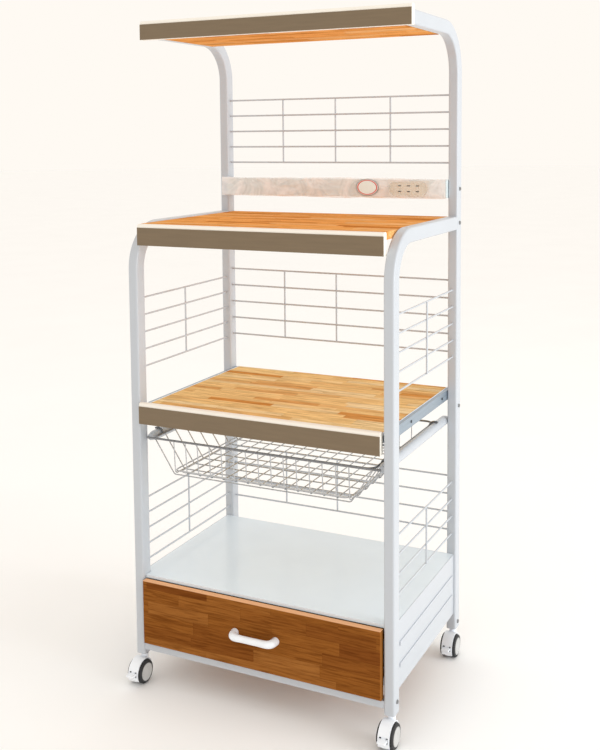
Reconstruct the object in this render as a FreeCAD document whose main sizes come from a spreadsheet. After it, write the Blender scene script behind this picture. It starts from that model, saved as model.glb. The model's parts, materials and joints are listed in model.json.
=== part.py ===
import FreeCAD, Part
import math
import os
import re
import Sketcher
from FreeCAD import Rotation, Vector

# Microwave cart: a rack of bent rectangular steel tube on four twin-wheel casters, with two fixed
# shelves, a pull-out shelf, a chrome wire basket on side rails and a drawer in a low steel cabinet.
# Frame: X across (right is +X), Y from front (-Y) to rear, Z up from the floor, centred in plan.
# All sizes are millimetres; heights are above the floor.

SIZES = [
    # frame of bent tube
    ("frame_width", 600, "outer width over the posts"),
    ("frame_depth", 423, "front of the front posts to rear of the rear posts"),
    ("tube_width", 22, "post size across the cart"),
    ("tube_depth", 30, "post size front to rear, in the plane of the bends"),
    ("tube_wall", 1.2, "wall of every frame tube"),
    ("tube_round", 4, "outer corner radius of the frame tube"),
    ("rear_bend", 92, "centre-line radius at the top of a rear post"),
    ("front_bend", 85, "centre-line radius at the top of a front post"),
    ("rack_height", 1425, "top of the rails that hold the top board"),
    ("middle_height", 1005, "top of the rails that hold the middle board"),
    ("joint_height", 1036, "where an upper rear post meets its lower one"),
    ("sleeve_length", 80, "length of the sleeve inside that joint"),
    # fits
    ("gap", 0.5, "clearance round a fixed piece"),
    ("shank_gap", 0.1, "clearance round a screw's shank"),
    # boards and the strips on their front edges
    ("board_thick", 15, "thickness of every shelf board"),
    ("board_drop", 3, "middle board's top below its rails' top"),
    ("top_board_past", 10, "top board's rear edge behind the start of the bends"),
    ("board_inset", 3, "rear edge of a board in front of the rear of the posts"),
    ("fascia_thick", 15, "thickness of a front strip's core"),
    ("fascia_skin", 1.2, "thickness of the coloured face on a front strip"),
    ("fascia_height", 45, "height of the middle and pull-out front strips"),
    ("top_fascia_height", 40, "height of the top front strip"),
    ("fascia_band", 7.5, "bare rounded edge above the coloured face"),
    ("fascia_round", 5, "radius of that rounded edge"),
    ("top_overhang", 7.5, "top front strip past the frame on each side"),
    ("top_fascia_drop", 3.5, "top front strip below its rails"),
    ("top_set_back", 73, "top front strip behind the front of the posts"),
    ("middle_set_back", 3.5, "middle front strip behind the front of the posts"),
    ("shelf_proud", 9, "pull-out front strip ahead of the front of the posts"),
    # wire grilles
    ("grille_wire", 4, "diameter of the grille wire"),
    ("grille_pitch_across", 136, "spacing of the upright wires of a rear grille"),
    ("weld_gap", 0.1, "between a welded wire's end and the face it is welded to"),
    ("upper_grille_top", 1271, "top wire of the upper rear grille"),
    ("upper_grille_pitch", 37.2, "its wire spacing"),
    ("middle_grille_top", 861, "top wire of the middle rear grille"),
    ("middle_grille_pitch", 40.4, "its wire spacing"),
    ("lower_grille_top", 414, "top wire of the lower rear grille"),
    ("lower_grille_pitch", 42, "its wire spacing"),
    ("side_grille_top", 841, "top wire of the middle side grilles"),
    ("side_grille_pitch", 37.6, "their wire spacing"),
    ("right_grille_top", 405, "top wire of the lower right grille"),
    ("right_grille_pitch", 40, "its wire spacing"),
    ("left_grille_top", 400, "top wire of the lower left grille"),
    ("left_grille_pitch", 34.6, "its wire spacing"),
    # pull-out shelf
    ("shelf_height", 614, "top of the pull-out board"),
    ("tray_wall", 1.2, "sheet of the tray under the pull-out board"),
    ("tray_height", 19, "height of the tray's side wall"),
    ("slide_gap", 6.5, "between the tray's side wall and the web of its slide rail"),
    ("slide_sheet", 1.2, "sheet of a slide rail"),
    ("slide_height", 22, "height of a slide rail"),
    ("slide_lip", 7, "width of a slide rail's flanges"),
    ("roller_gap", 0.4, "clearance of a roller between the flanges"),
    ("roller_width", 4, "width of a slide roller"),
    ("shelf_fascia_gap", 4, "end of the pull-out front strip to the post"),
    ("roller_back", 30, "slide roller ahead of the rear end of its rail"),
    # basket
    ("basket_rail_drop", 73, "centre of the basket's side rails below the pull-out board's top"),
    ("basket_rail_size", 21, "outer diameter of a basket rail"),
    ("basket_rail_wall", 1, "wall of a basket rail"),
    ("rail_start", 22, "front end of a basket rail behind the front of the posts"),
    ("rail_crimp", 14, "length of the flattened end of a basket rail"),
    ("rim_wire", 4.6, "diameter of the basket's rim wire"),
    ("hook_wire", 4.6, "diameter of the hooks that ride on the rails"),
    ("mesh_wire", 2.6, "diameter of the basket's mesh wires"),
    ("rim_lift", 2, "rim wire above the rails' centre"),
    ("rim_gap", 1, "side rim wires clear of the rails"),
    ("rim_front", 12, "front rim wire behind the front of the posts"),
    ("rim_rear", 375, "rear rim wire behind the front of the posts"),
    ("ear_inset", 10, "front ear of the rim inside the post's inner face"),
    ("basket_depth", 70, "floor of the basket below the rim wire"),
    ("basket_side_rake", 52, "sides of the basket drawn in at its floor"),
    ("basket_rake", 5, "front and rear of the basket drawn in at its floor"),
    ("edge_wire_lift", 3, "lowest level wire of a basket wall above the floor"),
    ("basket_corner", 18, "radius of the rim wire's corners"),
    ("hook_gap", 0.3, "hook to rail"),
    ("hook_inset", 16, "hook behind or ahead of the rim's corner"),
    # cabinet and drawer
    ("cabinet_height", 238, "top of the cabinet"),
    ("cabinet_bottom", 99, "lower edge of the cabinet's sides"),
    ("cabinet_sheet", 0.8, "sheet of the cabinet's panels"),
    ("cabinet_flange", 14, "turned-down and turned-in edges of the panels"),
    ("cabinet_inset", 5, "side panel inside the outer face of the posts"),
    ("rib_height", 8, "height of a pressed rib"),
    ("rib_proud", 2, "how far a pressed rib stands out"),
    ("front_rail_bottom", 73, "lower edge of the rail under the drawer"),
    ("front_rail_height", 15, "height of that rail"),
    ("front_rail_depth", 20, "depth of that rail"),
    ("drawer_bottom_edge", 91, "lower edge of the drawer front"),
    ("drawer_top_gap", 7, "drawer front below the cabinet's top"),
    ("drawer_thick", 14, "thickness of the drawer front"),
    ("drawer_side_gap", 3, "drawer front to post on each side"),
    ("drawer_proud", 8, "drawer front ahead of the front of the posts"),
    ("drawer_round", 2.5, "rounded edges of the drawer front"),
    ("drawer_wall", 1.2, "sheet of the drawer box"),
    ("drawer_box_height", 92, "height of the drawer box"),
    ("drawer_box_lift", 18, "drawer box above the lower edge of its front"),
    ("drawer_back_gap", 12, "drawer box to the cabinet's back"),
    ("drawer_floor", 3, "thickness of the drawer's bottom board"),
    ("handle_spacing", 96, "between the handle's two screws"),
    ("handle_thick", 15, "thickness of the handle's bow"),
    ("handle_reach", 30, "front of the handle ahead of the drawer front"),
    ("handle_width", 17, "height of the handle's bow"),
    ("handle_bevel", 12, "bevel at the front corners of the handle"),
    ("handle_inner_bevel", 6, "bevel in the inner corners of the handle"),
    ("handle_round", 3, "rounded edges of the handle"),
    ("handle_lift", 3, "centre of the handle above the middle of the drawer front"),
    # casters
    ("caster_height", 61, "floor to the lower end of the posts"),
    ("wheel_size", 50, "diameter of a caster wheel"),
    ("wheel_width", 12, "width of one of the two wheels of a caster"),
    ("wheel_spread", 10, "between the two wheels of a caster"),
    ("hub_size", 37, "diameter of the grey hub in a wheel"),
    ("hub_proud", 1, "hub face outside the tyre's face"),
    ("axle_size", 6, "diameter of the axle"),
    ("axle_end", 3.3, "axle's end inside the hub's outer face"),
    ("hub_cap", 3, "closed outer end of a hub"),
    ("running_gap", 0.05, "radial clearance of a shaft that turns"),
    ("caster_trail", 18, "axle ahead of the swivel pin, at rest"),
    ("hood_wall", 2.4, "wall of the caster's hood"),
    ("hood_gap", 1.5, "hood to tyre"),
    ("tyre_bare", 5, "outer part of each tyre that the hood leaves bare"),
    ("hood_lip", 12, "lower edge of the hood in front of the wheels"),
    ("pin_size", 8, "diameter of the swivel pin"),
    ("pin_engage", 24, "swivel pin inside its socket"),
    ("collar_height", 4, "collar between the hood and the post"),
    ("lever_reach", 42, "tip of the brake lever ahead of the axle"),
    ("lever_width", 17, "width of the brake lever"),
    ("lever_thick", 4, "thickness of the brake lever"),
    ("lever_height", 29, "centre of the brake lever"),
    ("lever_pivot", 29.5, "pivot of the brake lever ahead of the axle"),
    ("lever_pin", 3, "diameter of that pivot"),
    ("lever_gap", 0.3, "brake lever to the hood on each side"),
    # power strip
    ("strip_height", 1065, "centre of the power strip"),
    ("strip_tall", 40, "height of the power strip"),
    ("strip_deep", 34, "depth of the power strip"),
    ("strip_proud", 9, "power strip ahead of the rear posts"),
    ("strip_wall", 2, "wall of the power strip's case"),
    ("outlet_inset", 88, "middle of the outlet plate from the right post's inner face"),
    ("outlet_plate", 96, "width of the outlet plate"),
    ("outlet_pitch", 21, "spacing of the outlets"),
    ("slot_pitch", 12.7, "between the two slots of an outlet"),
    ("slot_long", 8, "length of a slot"),
    ("slot_high", 2.4, "height of a slot"),
    ("plate_thick", 3, "thickness of the outlet plate"),
    ("film_sheet", 0.6, "thickness allowed for the film over the strip"),
    ("film_gap", 0.3, "film to strip"),
    # fasteners
    ("bolt_head", 9, "diameter of a frame bolt's head"),
    ("bolt_head_high", 2.6, "height of a frame bolt's head"),
    ("bolt_shank", 5, "diameter of a frame bolt"),
    ("bolt_length", 6, "length of a frame bolt's shank"),
    ("screw_head", 7, "diameter of a small screw's head"),
    ("screw_shank", 3, "diameter of a small screw"),
    ("screw_grip", 16, "how far a board screw reaches into the board's edge"),
]

# Places and lengths that follow from the sizes above.
PLACES = {
    "half_width": "frame_width / 2",
    "post_inner": "half_width - tube_width",
    "post_middle": "half_width - tube_width / 2",
    "lever_front": "caster_trail + lever_reach - tube_depth / 2",
    "front": "(lever_front - frame_depth) / 2",
    "rear": "front + frame_depth",
    "front_post_back": "front + tube_depth",
    "rear_post_front": "rear - tube_depth",
    "front_axis": "front + tube_depth / 2",
    "rear_axis": "rear - tube_depth / 2",
    "between_posts": "rear_post_front - front_post_back",
    "top_front": "front + top_set_back",
    "middle_front": "front + middle_set_back",
    "shelf_front": "front - shelf_proud",
    "board_rear": "rear - board_inset",
    "board_top": "rack_height - tube_depth + board_thick",
    "middle_top": "middle_height - board_drop",
    "slide_web": "post_inner - slide_sheet",
    "tray_reach": "slide_web - slide_gap",
    "slide_low": "shelf_height - slide_height",
    "rail_reach": "post_inner - 0.5 - basket_rail_size / 2",
    "basket_rail_z": "shelf_height - basket_rail_drop",
    "rim_z": "basket_rail_z + rim_lift",
    "ear_reach": "post_inner - ear_inset",
    "rim_reach": "rail_reach - basket_rail_size / 2 - rim_gap - rim_wire / 2",
    "rim_y0": "front + rim_front",
    "rim_y1": "front + rim_rear",
    "floor_z": "rim_z - basket_depth",
    "basket_floor_half": "rim_reach - basket_side_rake",
    "side_panel": "half_width - cabinet_inset",
    "cabinet_back": "rear_post_front",
    "drawer_half": "post_inner - drawer_side_gap",
    "drawer_front": "front - drawer_proud",
    "drawer_height": "cabinet_height - drawer_top_gap - drawer_bottom_edge",
    "handle_height": "drawer_bottom_edge + drawer_height / 2 + handle_lift",
    "drawer_box_low": "drawer_bottom_edge + drawer_box_lift",
    "drawer_box_front": "drawer_front + drawer_thick",
    "drawer_box_back": "cabinet_back - drawer_back_gap",
    "runner_low": "drawer_box_low + 20",
    "strip_front": "rear_post_front - strip_proud",
    "strip_low": "strip_height - strip_tall / 2",
    "outlet_centre": "post_inner - outlet_inset",
    "wheel_radius": "wheel_size / 2",
    "hood_radius": "wheel_size / 2 + hood_gap + hood_wall",
    "wheels_wide": "wheel_spread + 2 * wheel_width",
    "hood_top": "caster_height - collar_height",
}

SIDES = {"L": -1, "R": 1}
BOTH = (-1, 1)

DOC = FreeCAD.newDocument("microwave_cart")
SHEET = DOC.addObject("Spreadsheet::Sheet", "Sizes")
for row, (alias, size, note) in enumerate(SIZES, start=1):
    SHEET.set("A%d" % row, str(size))
    SHEET.setAlias("A%d" % row, alias)
    SHEET.set("B%d" % row, note)
DOC.recompute()

ALIASES = {alias for alias, size, note in SIZES}
NODES = []


def full(text):
    """Write a formula in the sheet's own cells."""
    def swap(match):
        word = match.group(0)
        if word in PLACES:
            return "(" + full(PLACES[word]) + ")"
        return "Sizes." + word if word in ALIASES else word
    return re.sub(r"[a-z][a-z0-9_]*", swap, str(text))


def value(text):
    """The number that a formula stands for now."""
    return float(SHEET.evalExpression(full(text)))


def bind(item, **sizes):
    for key, text in sizes.items():
        item.setExpression(key, full(text))


def place(item, x="0", y="0", z="0"):
    for axis, text in zip("xyz", (x, y, z)):
        item.setExpression("Placement.Base." + axis, full(text))


def signed(side, text):
    return "%d * (%s)" % (side, text)


def node(item, name):
    """Mark a finished piece; its label names its file."""
    item.Label = name
    NODES.append(item)
    return item


# ---------------------------------------------------------------- plain shapes

def block(name, low, size):
    """A box from its low corner."""
    item = DOC.addObject("Part::Box", name)
    bind(item, Length=size[0], Width=size[1], Height=size[2])
    place(item, *low)
    return item


def mirror_block(name, side, near, wide, y, z, deep, high):
    """A box that reaches from near to near + wide, outwards on the given side."""
    x = near if side > 0 else "-(%s) - (%s)" % (near, wide)
    return block(name, (x, y, z), (wide, deep, high))


AXIS_TURN = {
    "x": Rotation(Vector(0, 1, 0), 90),
    "y": Rotation(Vector(1, 0, 0), -90),
    "z": Rotation(),
}


def rod(name, start, axis, radius, length):
    """A cylinder from start along an axis."""
    item = DOC.addObject("Part::Cylinder", name)
    bind(item, Radius=radius, Height=length)
    item.Placement = FreeCAD.Placement(Vector(), AXIS_TURN[axis])
    place(item, *start)
    return item


def leaning_rod(name, start, about, hand, rise, run, short, radius):
    """A rod aimed at a point up by rise and over by run, which stops short of that point.

    It leans along X when about is y, and along Y when about is x; hand is the sign of the lean.
    """
    item = DOC.addObject("Part::Cylinder", name)
    bind(item, Radius=radius, Height="sqrt((%s)^2 + (%s)^2) - (%s)" % (rise, run, short))
    turn = Vector(0, hand, 0) if about == "y" else Vector(-hand, 0, 0)
    item.Placement = FreeCAD.Placement(Vector(), Rotation(turn, 10))
    item.setExpression("Placement.Rotation.Angle", full("atan((%s) / (%s))" % (run, rise)))
    place(item, *start)
    return item


def fuse(name, items):
    item = DOC.addObject("Part::MultiFuse", name)
    item.Shapes = items
    return item


def cut(name, base, tool):
    item = DOC.addObject("Part::Cut", name)
    item.Base = base
    tools = tool if isinstance(tool, list) else [tool]
    item.Tool = tools[0] if len(tools) == 1 else fuse(name + "_tools", tools)
    return item


def group(name, items):
    """Separate solids in one piece, such as a set of fasteners."""
    item = DOC.addObject("Part::Compound", name)
    item.Links = items
    return item


def round_edges(name, base, radius, wanted):
    """Fillet the straight edges of base for which wanted(edge) is true."""
    DOC.recompute()
    item = DOC.addObject("Part::Fillet", name)
    item.Base = base
    size = value(radius)
    item.Edges = [(number, size, size) for number, edge in enumerate(base.Shape.Edges, start=1)
                  if wanted(edge)]
    return item


def runs_along(axis):
    """True for an edge that runs along an axis."""
    direction = {"x": Vector(1, 0, 0), "y": Vector(0, 1, 0), "z": Vector(0, 0, 1)}[axis]

    def test(edge):
        if edge.Curve.TypeId != "Part::GeomLine":
            return False
        return abs(edge.tangentAt(edge.FirstParameter).dot(direction)) > 0.999
    return test


# ---------------------------------------------------------------- bent tubes

def origin_plane(body, role):
    return next(item for item in body.Origin.OriginFeatures if item.Role == role)


def new_sketch(body, name, role):
    sketch = body.newObject("Sketcher::SketchObject", name)
    sketch.AttachmentSupport = [(origin_plane(body, role), "")]
    sketch.MapMode = "FlatFace"
    return sketch


def constrain(sketch, kind, name, formula, *where):
    """Add a named size to a sketch and tie it to the sheet."""
    number = sketch.addConstraint(Sketcher.Constraint(kind, *where, value(formula)))
    sketch.renameConstraint(number, name)
    sketch.setExpression("Constraints." + name, full(formula))


def rounded_rectangle(sketch, tag, wide, deep, radius):
    """A closed rounded rectangle round the sketch's origin."""
    half_x = value(wide) / 2
    half_y = value(deep) / 2
    bend = value(radius)
    corners = [(1, 1), (-1, 1), (-1, -1), (1, -1)]
    first = sketch.GeometryCount
    for turn, (sx, sy) in enumerate(corners):
        centre = Vector(sx * (half_x - bend), sy * (half_y - bend), 0)
        start = turn * math.pi / 2
        circle = Part.Circle(centre, Vector(0, 0, 1), bend)
        sketch.addGeometry(Part.ArcOfCircle(circle, start, start + math.pi / 2), False)
    ends = [
        (Vector(half_x - bend, half_y, 0), Vector(-half_x + bend, half_y, 0)),
        (Vector(-half_x, half_y - bend, 0), Vector(-half_x, -half_y + bend, 0)),
        (Vector(-half_x + bend, -half_y, 0), Vector(half_x - bend, -half_y, 0)),
        (Vector(half_x, -half_y + bend, 0), Vector(half_x, half_y - bend, 0)),
    ]
    for start, end in ends:
        sketch.addGeometry(Part.LineSegment(start, end), False)
    arcs = [first + number for number in range(4)]
    lines = [first + 4 + number for number in range(4)]
    for number in range(4):
        following = arcs[(number + 1) % 4]
        sketch.addConstraint(Sketcher.Constraint("Tangent", arcs[number], 2, lines[number], 1))
        sketch.addConstraint(Sketcher.Constraint("Tangent", lines[number], 2, following, 1))
    for number in (0, 2):
        sketch.addConstraint(Sketcher.Constraint("Horizontal", lines[number]))
        sketch.addConstraint(Sketcher.Constraint("Vertical", lines[number + 1]))
    for number in range(1, 4):
        sketch.addConstraint(Sketcher.Constraint("Equal", arcs[0], arcs[number]))
    sketch.addConstraint(Sketcher.Constraint("Symmetric", arcs[0], 3, arcs[2], 3, -1, 1))
    constrain(sketch, "Radius", tag + "_radius", radius, arcs[0])
    constrain(sketch, "DistanceX", tag + "_wide", wide, lines[1], 1, lines[3], 2)
    constrain(sketch, "DistanceY", tag + "_deep", deep, lines[2], 1, lines[0], 2)


def bent_post(name, side, back, foot, top, bend, reach):
    """A tube that stands on foot at depth back, bends once and runs level at top to depth reach.

    The level part runs away from back towards reach, forwards or rearwards.
    """
    body = DOC.addObject("PartDesign::Body", name)
    ahead = 1 if value(reach) > value(back) else -1
    path = new_sketch(body, name + "_path", "YZ_Plane")
    y0 = value(back)
    z0 = value(foot)
    z1 = value(top)
    radius = value(bend)
    y1 = value(reach)
    centre = Vector(y0 + ahead * radius, z1 - radius, 0)
    start = math.pi / 2 if ahead > 0 else 0
    circle = Part.Circle(centre, Vector(0, 0, 1), radius)
    path.addGeometry(Part.LineSegment(Vector(y0, z0, 0), Vector(y0, z1 - radius, 0)), False)
    path.addGeometry(Part.ArcOfCircle(circle, start, start + math.pi / 2), False)
    path.addGeometry(Part.LineSegment(Vector(y0 + ahead * radius, z1, 0), Vector(y1, z1, 0)), False)
    low_end, high_end = (2, 1) if ahead > 0 else (1, 2)
    path.addConstraint(Sketcher.Constraint("Vertical", 0))
    path.addConstraint(Sketcher.Constraint("Horizontal", 2))
    path.addConstraint(Sketcher.Constraint("Tangent", 0, 2, 1, low_end))
    path.addConstraint(Sketcher.Constraint("Tangent", 1, high_end, 2, 1))
    constrain(path, "Radius", "bend", bend, 1)
    constrain(path, "DistanceX", "back", back, -1, 1, 0, 1)
    constrain(path, "DistanceY", "foot", foot, -1, 1, 0, 1)
    constrain(path, "DistanceY", "top", top, -1, 1, 2, 2)
    constrain(path, "DistanceX", "reach", reach, -1, 1, 2, 2)
    section = new_sketch(body, name + "_section", "XY_Plane")
    section.setExpression("AttachmentOffset.Base.y", full(back))
    section.setExpression("AttachmentOffset.Base.z", full(foot))
    rounded_rectangle(section, "outside", "tube_width", "tube_depth", "tube_round")
    rounded_rectangle(section, "inside", "tube_width - 2 * tube_wall",
                      "tube_depth - 2 * tube_wall", "tube_round - tube_wall")
    DOC.recompute()
    pipe = body.newObject("PartDesign::AdditivePipe", name + "_tube")
    pipe.Profile = section
    pipe.Spine = path
    body.Tip = pipe
    place(body, signed(side, "post_middle"))
    return body


def straight_post(name, side, back, foot, top):
    """A straight piece of the same tube."""
    body = DOC.addObject("PartDesign::Body", name)
    section = new_sketch(body, name + "_section", "XY_Plane")
    rounded_rectangle(section, "outside", "tube_width", "tube_depth", "tube_round")
    rounded_rectangle(section, "inside", "tube_width - 2 * tube_wall",
                      "tube_depth - 2 * tube_wall", "tube_round - tube_wall")
    pad = body.newObject("PartDesign::Pad", name + "_tube")
    pad.Profile = section
    bind(pad, Length="(%s) - (%s)" % (top, foot))
    body.Tip = pad
    place(body, signed(side, "post_middle"), back, foot)
    return body


BOLTS = {
    "strip": ("rear_axis", "strip_height"),
    "rail": ("rear_axis", "middle_height - tube_depth / 2"),
    "slide": ("rear_axis", "shelf_height - 36"),
    "rear_foot": ("rear_axis", "caster_height + 14"),
    "front_foot": ("front_axis", "caster_height + 24"),
}

BOARD_SCREWS = {
    "top": [("top_front + 60", "board_top - board_thick / 2"),
            ("rear_axis - rear_bend - 40", "board_top - board_thick / 2")],
    "middle": [("front + 140", "middle_top - board_thick / 2"),
               ("rear_post_front - 60", "middle_top - board_thick / 2")],
}


def screw_holes(name, rail):
    """Holes for the screws that hold a board between its two rails."""
    return [rod("%s_%d_%d" % (name, side + 1, number),
                (signed(side, "post_inner") + " - screw_grip - 4", y, z),
                "x", "screw_shank / 2 + shank_gap", "2 * screw_grip + 8")
            for side in BOTH for number, (y, z) in enumerate(BOARD_SCREWS[rail])]


def bolt_hole(name, side, bolt):
    """The hole for a frame bolt, through a post's outer wall."""
    y, z = BOLTS[bolt]
    start = signed(side, "half_width") + " - 4"
    return rod(name, (start, y, z), "x", "bolt_shank / 2 + shank_gap", "8")


def frame_bolt(name, side, bolt):
    """A round-headed bolt seated on a post's outer face."""
    y, z = BOLTS[bolt]
    inner = "half_width - bolt_length" if side > 0 else "-half_width"
    shank = rod(name + "_shank", (inner, y, z), "x", "bolt_shank / 2", "bolt_length")
    head = DOC.addObject("Part::Cone", name + "_head")
    bind(head, Radius1="bolt_head / 2", Radius2="bolt_head / 2 - 1.2", Height="bolt_head_high")
    head.Placement = FreeCAD.Placement(Vector(), Rotation(Vector(0, 1, 0), 90 * side))
    place(head, signed(side, "half_width"), y, z)
    return fuse(name, [shank, head])


def make_posts():
    for letter, side in SIDES.items():
        tube = bent_post("upper_tube_" + letter, side, "rear_axis", "joint_height",
                         "rack_height - tube_depth / 2", "rear_bend", "top_front + fascia_thick + fascia_skin")
        holes = [bolt_hole("strip_hole_" + letter, side, "strip")]
        holes += screw_holes("top_rail_hole_" + letter, "top")
        node(cut("rear_upper_cut_" + letter, tube, holes), "rear_upper_post_" + letter)
        tube = straight_post("lower_tube_" + letter, side, "rear_axis", "caster_height", "joint_height")
        holes = [bolt_hole(bolt + "_hole_" + letter, side, bolt) for bolt in ("rail", "slide", "rear_foot")]
        node(cut("rear_lower_cut_" + letter, tube, holes), "rear_lower_post_" + letter)
        tube = bent_post("front_tube_" + letter, side, "front_axis", "caster_height",
                         "middle_height - tube_depth / 2", "front_bend", "rear_post_front")
        holes = [bolt_hole("front_foot_hole_" + letter, side, "front_foot")]
        holes += screw_holes("middle_rail_hole_" + letter, "middle")
        node(cut("front_cut_" + letter, tube, holes), "front_post_" + letter)
    sleeves = []
    for letter, side in SIDES.items():
        inside = "tube_wall + shank_gap"
        sleeve = block("sleeve_" + letter,
                       (signed(side, "post_middle") + " - tube_width / 2 + " + inside,
                        "rear_axis - tube_depth / 2 + " + inside, "joint_height - sleeve_length / 2"),
                       ("tube_width - 2 * (%s)" % inside, "tube_depth - 2 * (%s)" % inside, "sleeve_length"))
        rounded = round_edges("sleeve_round_" + letter, sleeve, "tube_round - tube_wall", runs_along("z"))
        wall = "tube_wall + shank_gap + 1.5"
        hollow = block("sleeve_hollow_" + letter,
                       (signed(side, "post_middle") + " - tube_width / 2 + " + wall,
                        "rear_axis - tube_depth / 2 + " + wall, "joint_height - sleeve_length / 2 - 1"),
                       ("tube_width - 2 * (%s)" % wall, "tube_depth - 2 * (%s)" % wall, "sleeve_length + 2"))
        hole = bolt_hole("sleeve_hole_" + letter, side, "strip")
        sleeves.append(cut("sleeve_tube_" + letter, rounded, [hollow, hole]))
    node(group("sleeves", sleeves), "post_joint_sleeves")
    fasteners = [frame_bolt("bolt_%s_%s" % (bolt, letter), side, bolt)
                 for letter, side in SIDES.items() for bolt in BOLTS]
    fasteners += [board_screw("screw_%s_%d_%s" % (rail, number, letter), side, y, z)
                  for letter, side in SIDES.items() for rail, spots in BOARD_SCREWS.items()
                  for number, (y, z) in enumerate(spots)]
    node(group("fasteners", fasteners), "frame_fasteners")


# ---------------------------------------------------------------- boards and front strips

def fascia(name, half, y, low, high):
    """A front strip: a core with a rounded bare top edge, and a thin coloured face below it."""
    core = block(name + "_blank", ("-(%s)" % half, "%s + fascia_skin" % y, low),
                 ("2 * (%s)" % half, "fascia_thick", high))
    top = value(low) + value(high)
    rounded = round_edges(name + "_core_shape", core, "fascia_round",
                          lambda edge: runs_along("x")(edge) and edge.CenterOfMass.z > top - 1)
    node(rounded, name + "_core")
    face = block(name + "_face_shape", ("-(%s)" % half, y, low),
                 ("2 * (%s)" % half, "fascia_skin", "%s - fascia_band" % high))
    node(face, name + "_face")


def board(name, half, y, top, back):
    """A flat board from y to back, under the height top."""
    return block(name, ("-(%s)" % half, y, "%s - board_thick" % top),
                 ("2 * (%s)" % half, "%s - (%s)" % (back, y), "board_thick"))


def make_boards():
    behind = "fascia_skin + fascia_thick"
    fascia("top_fascia", "half_width + top_overhang", "top_front",
           "rack_height - tube_depth - top_fascia_drop", "top_fascia_height")
    plank = board("top_board_blank", "post_inner - gap", "top_front + " + behind, "board_top",
                  "rear_axis - rear_bend + top_board_past")
    node(cut("top_board_shape", plank, screw_holes("top_board_hole", "top")), "top_board")
    fascia("middle_fascia", "post_inner - gap", "middle_front", "middle_top - fascia_height", "fascia_height")
    plank = board("middle_board_blank", "post_inner - gap", "middle_front + " + behind, "middle_top",
                  "board_rear")
    node(cut("middle_board_shape", plank, screw_holes("middle_board_hole", "middle")), "middle_board")


def board_screw(name, side, y, z):
    """A screw through a rail's inner wall into the edge of a board; its head is inside the rail."""
    start = "post_inner - screw_grip" if side > 0 else "-(post_inner + tube_wall)"
    shank = rod(name + "_shank", (start, y, z), "x", "screw_shank / 2", "tube_wall + screw_grip")
    x = "post_inner + tube_wall" if side > 0 else "-(post_inner + tube_wall) - 2"
    head = rod(name + "_head", (x, y, z), "x", "screw_head / 2", "2")
    return fuse(name, [shank, head])


# ---------------------------------------------------------------- wire grilles

def rear_grille(name, top, pitch, count):
    """Level wires from post to post, and three upright wires welded behind them."""
    reach = "post_inner - weld_gap"
    wires = [rod("%s_level_%d" % (name, number),
                 ("-(%s)" % reach, "rear_axis", "%s - %d * %s" % (top, number, pitch)),
                 "x", "grille_wire / 2", "2 * (%s)" % reach) for number in range(count)]
    low = "%s - %d * %s" % (top, count - 1, pitch)
    for number in (-1, 0, 1):
        wires.append(rod("%s_upright_%d" % (name, number + 1),
                         ("%d * grille_pitch_across" % number, "rear_axis + grille_wire * 0.8", low),
                         "z", "grille_wire / 2", "%d * %s" % (count - 1, pitch)))
    node(fuse(name + "_shape", wires), name)


def side_grille(name, side, top, pitch, count):
    """Level wires from the front post to the rear post, and one upright wire welded outside them."""
    wires = [rod("%s_level_%d" % (name, number),
                 (signed(side, "post_middle"), "front_post_back + weld_gap",
                  "%s - %d * %s" % (top, number, pitch)),
                 "y", "grille_wire / 2", "between_posts - 2 * weld_gap") for number in range(count)]
    wires.append(rod(name + "_upright", (signed(side, "post_middle + grille_wire * 0.8"),
                                         "(front + rear) / 2", "%s - %d * %s" % (top, count - 1, pitch)),
                     "z", "grille_wire / 2", "%d * %s" % (count - 1, pitch)))
    return fuse(name + "_shape", wires)


def make_grilles():
    rear_grille("upper_back_grille", "upper_grille_top", "upper_grille_pitch", 5)
    rear_grille("middle_back_grille", "middle_grille_top", "middle_grille_pitch", 5)
    rear_grille("lower_back_grille", "lower_grille_top", "lower_grille_pitch", 4)
    middle = [side_grille("middle_side_" + letter, side, "side_grille_top", "side_grille_pitch", 5)
              for letter, side in SIDES.items()]
    node(group("middle_sides", middle), "middle_side_grilles")
    lower = [side_grille("lower_side_L", -1, "left_grille_top", "left_grille_pitch", 5),
             side_grille("lower_side_R", 1, "right_grille_top", "right_grille_pitch", 4)]
    node(group("lower_sides", lower), "lower_side_grilles")


# ---------------------------------------------------------------- slides

def slide_rail(name, side, low, y0, y1):
    """A C-shaped rail on the posts' inner faces, open towards the middle of the cart."""
    web = mirror_block(name + "_web", side, "slide_web", "slide_sheet", y0, low,
                       "%s - (%s)" % (y1, y0), "slide_height")
    flanges = [mirror_block("%s_flange_%d" % (name, number), side, "post_inner - slide_lip", "slide_lip",
                            y0, z, "%s - (%s)" % (y1, y0), "slide_sheet")
               for number, z in enumerate((low, "%s + slide_height - slide_sheet" % low))]
    return fuse(name, [web] + flanges)


def slide_roller(name, side, low, y, wall):
    """A roller on a stub pin from the moving side wall, between a rail's flanges."""
    inner = "slide_web - 1 - roller_width" if side > 0 else "-(slide_web - 1)"
    centre = "%s + slide_height / 2" % low
    wheel = rod(name + "_wheel", (inner, y, centre), "x",
                "slide_height / 2 - slide_sheet - roller_gap", "roller_width")
    start = wall if side > 0 else "-(slide_web - 1 - roller_width)"
    pin = rod(name + "_pin", (start, y, centre), "x", "2",
              "slide_web - 1 - roller_width - (%s)" % wall)
    return fuse(name, [wheel, pin])


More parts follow.
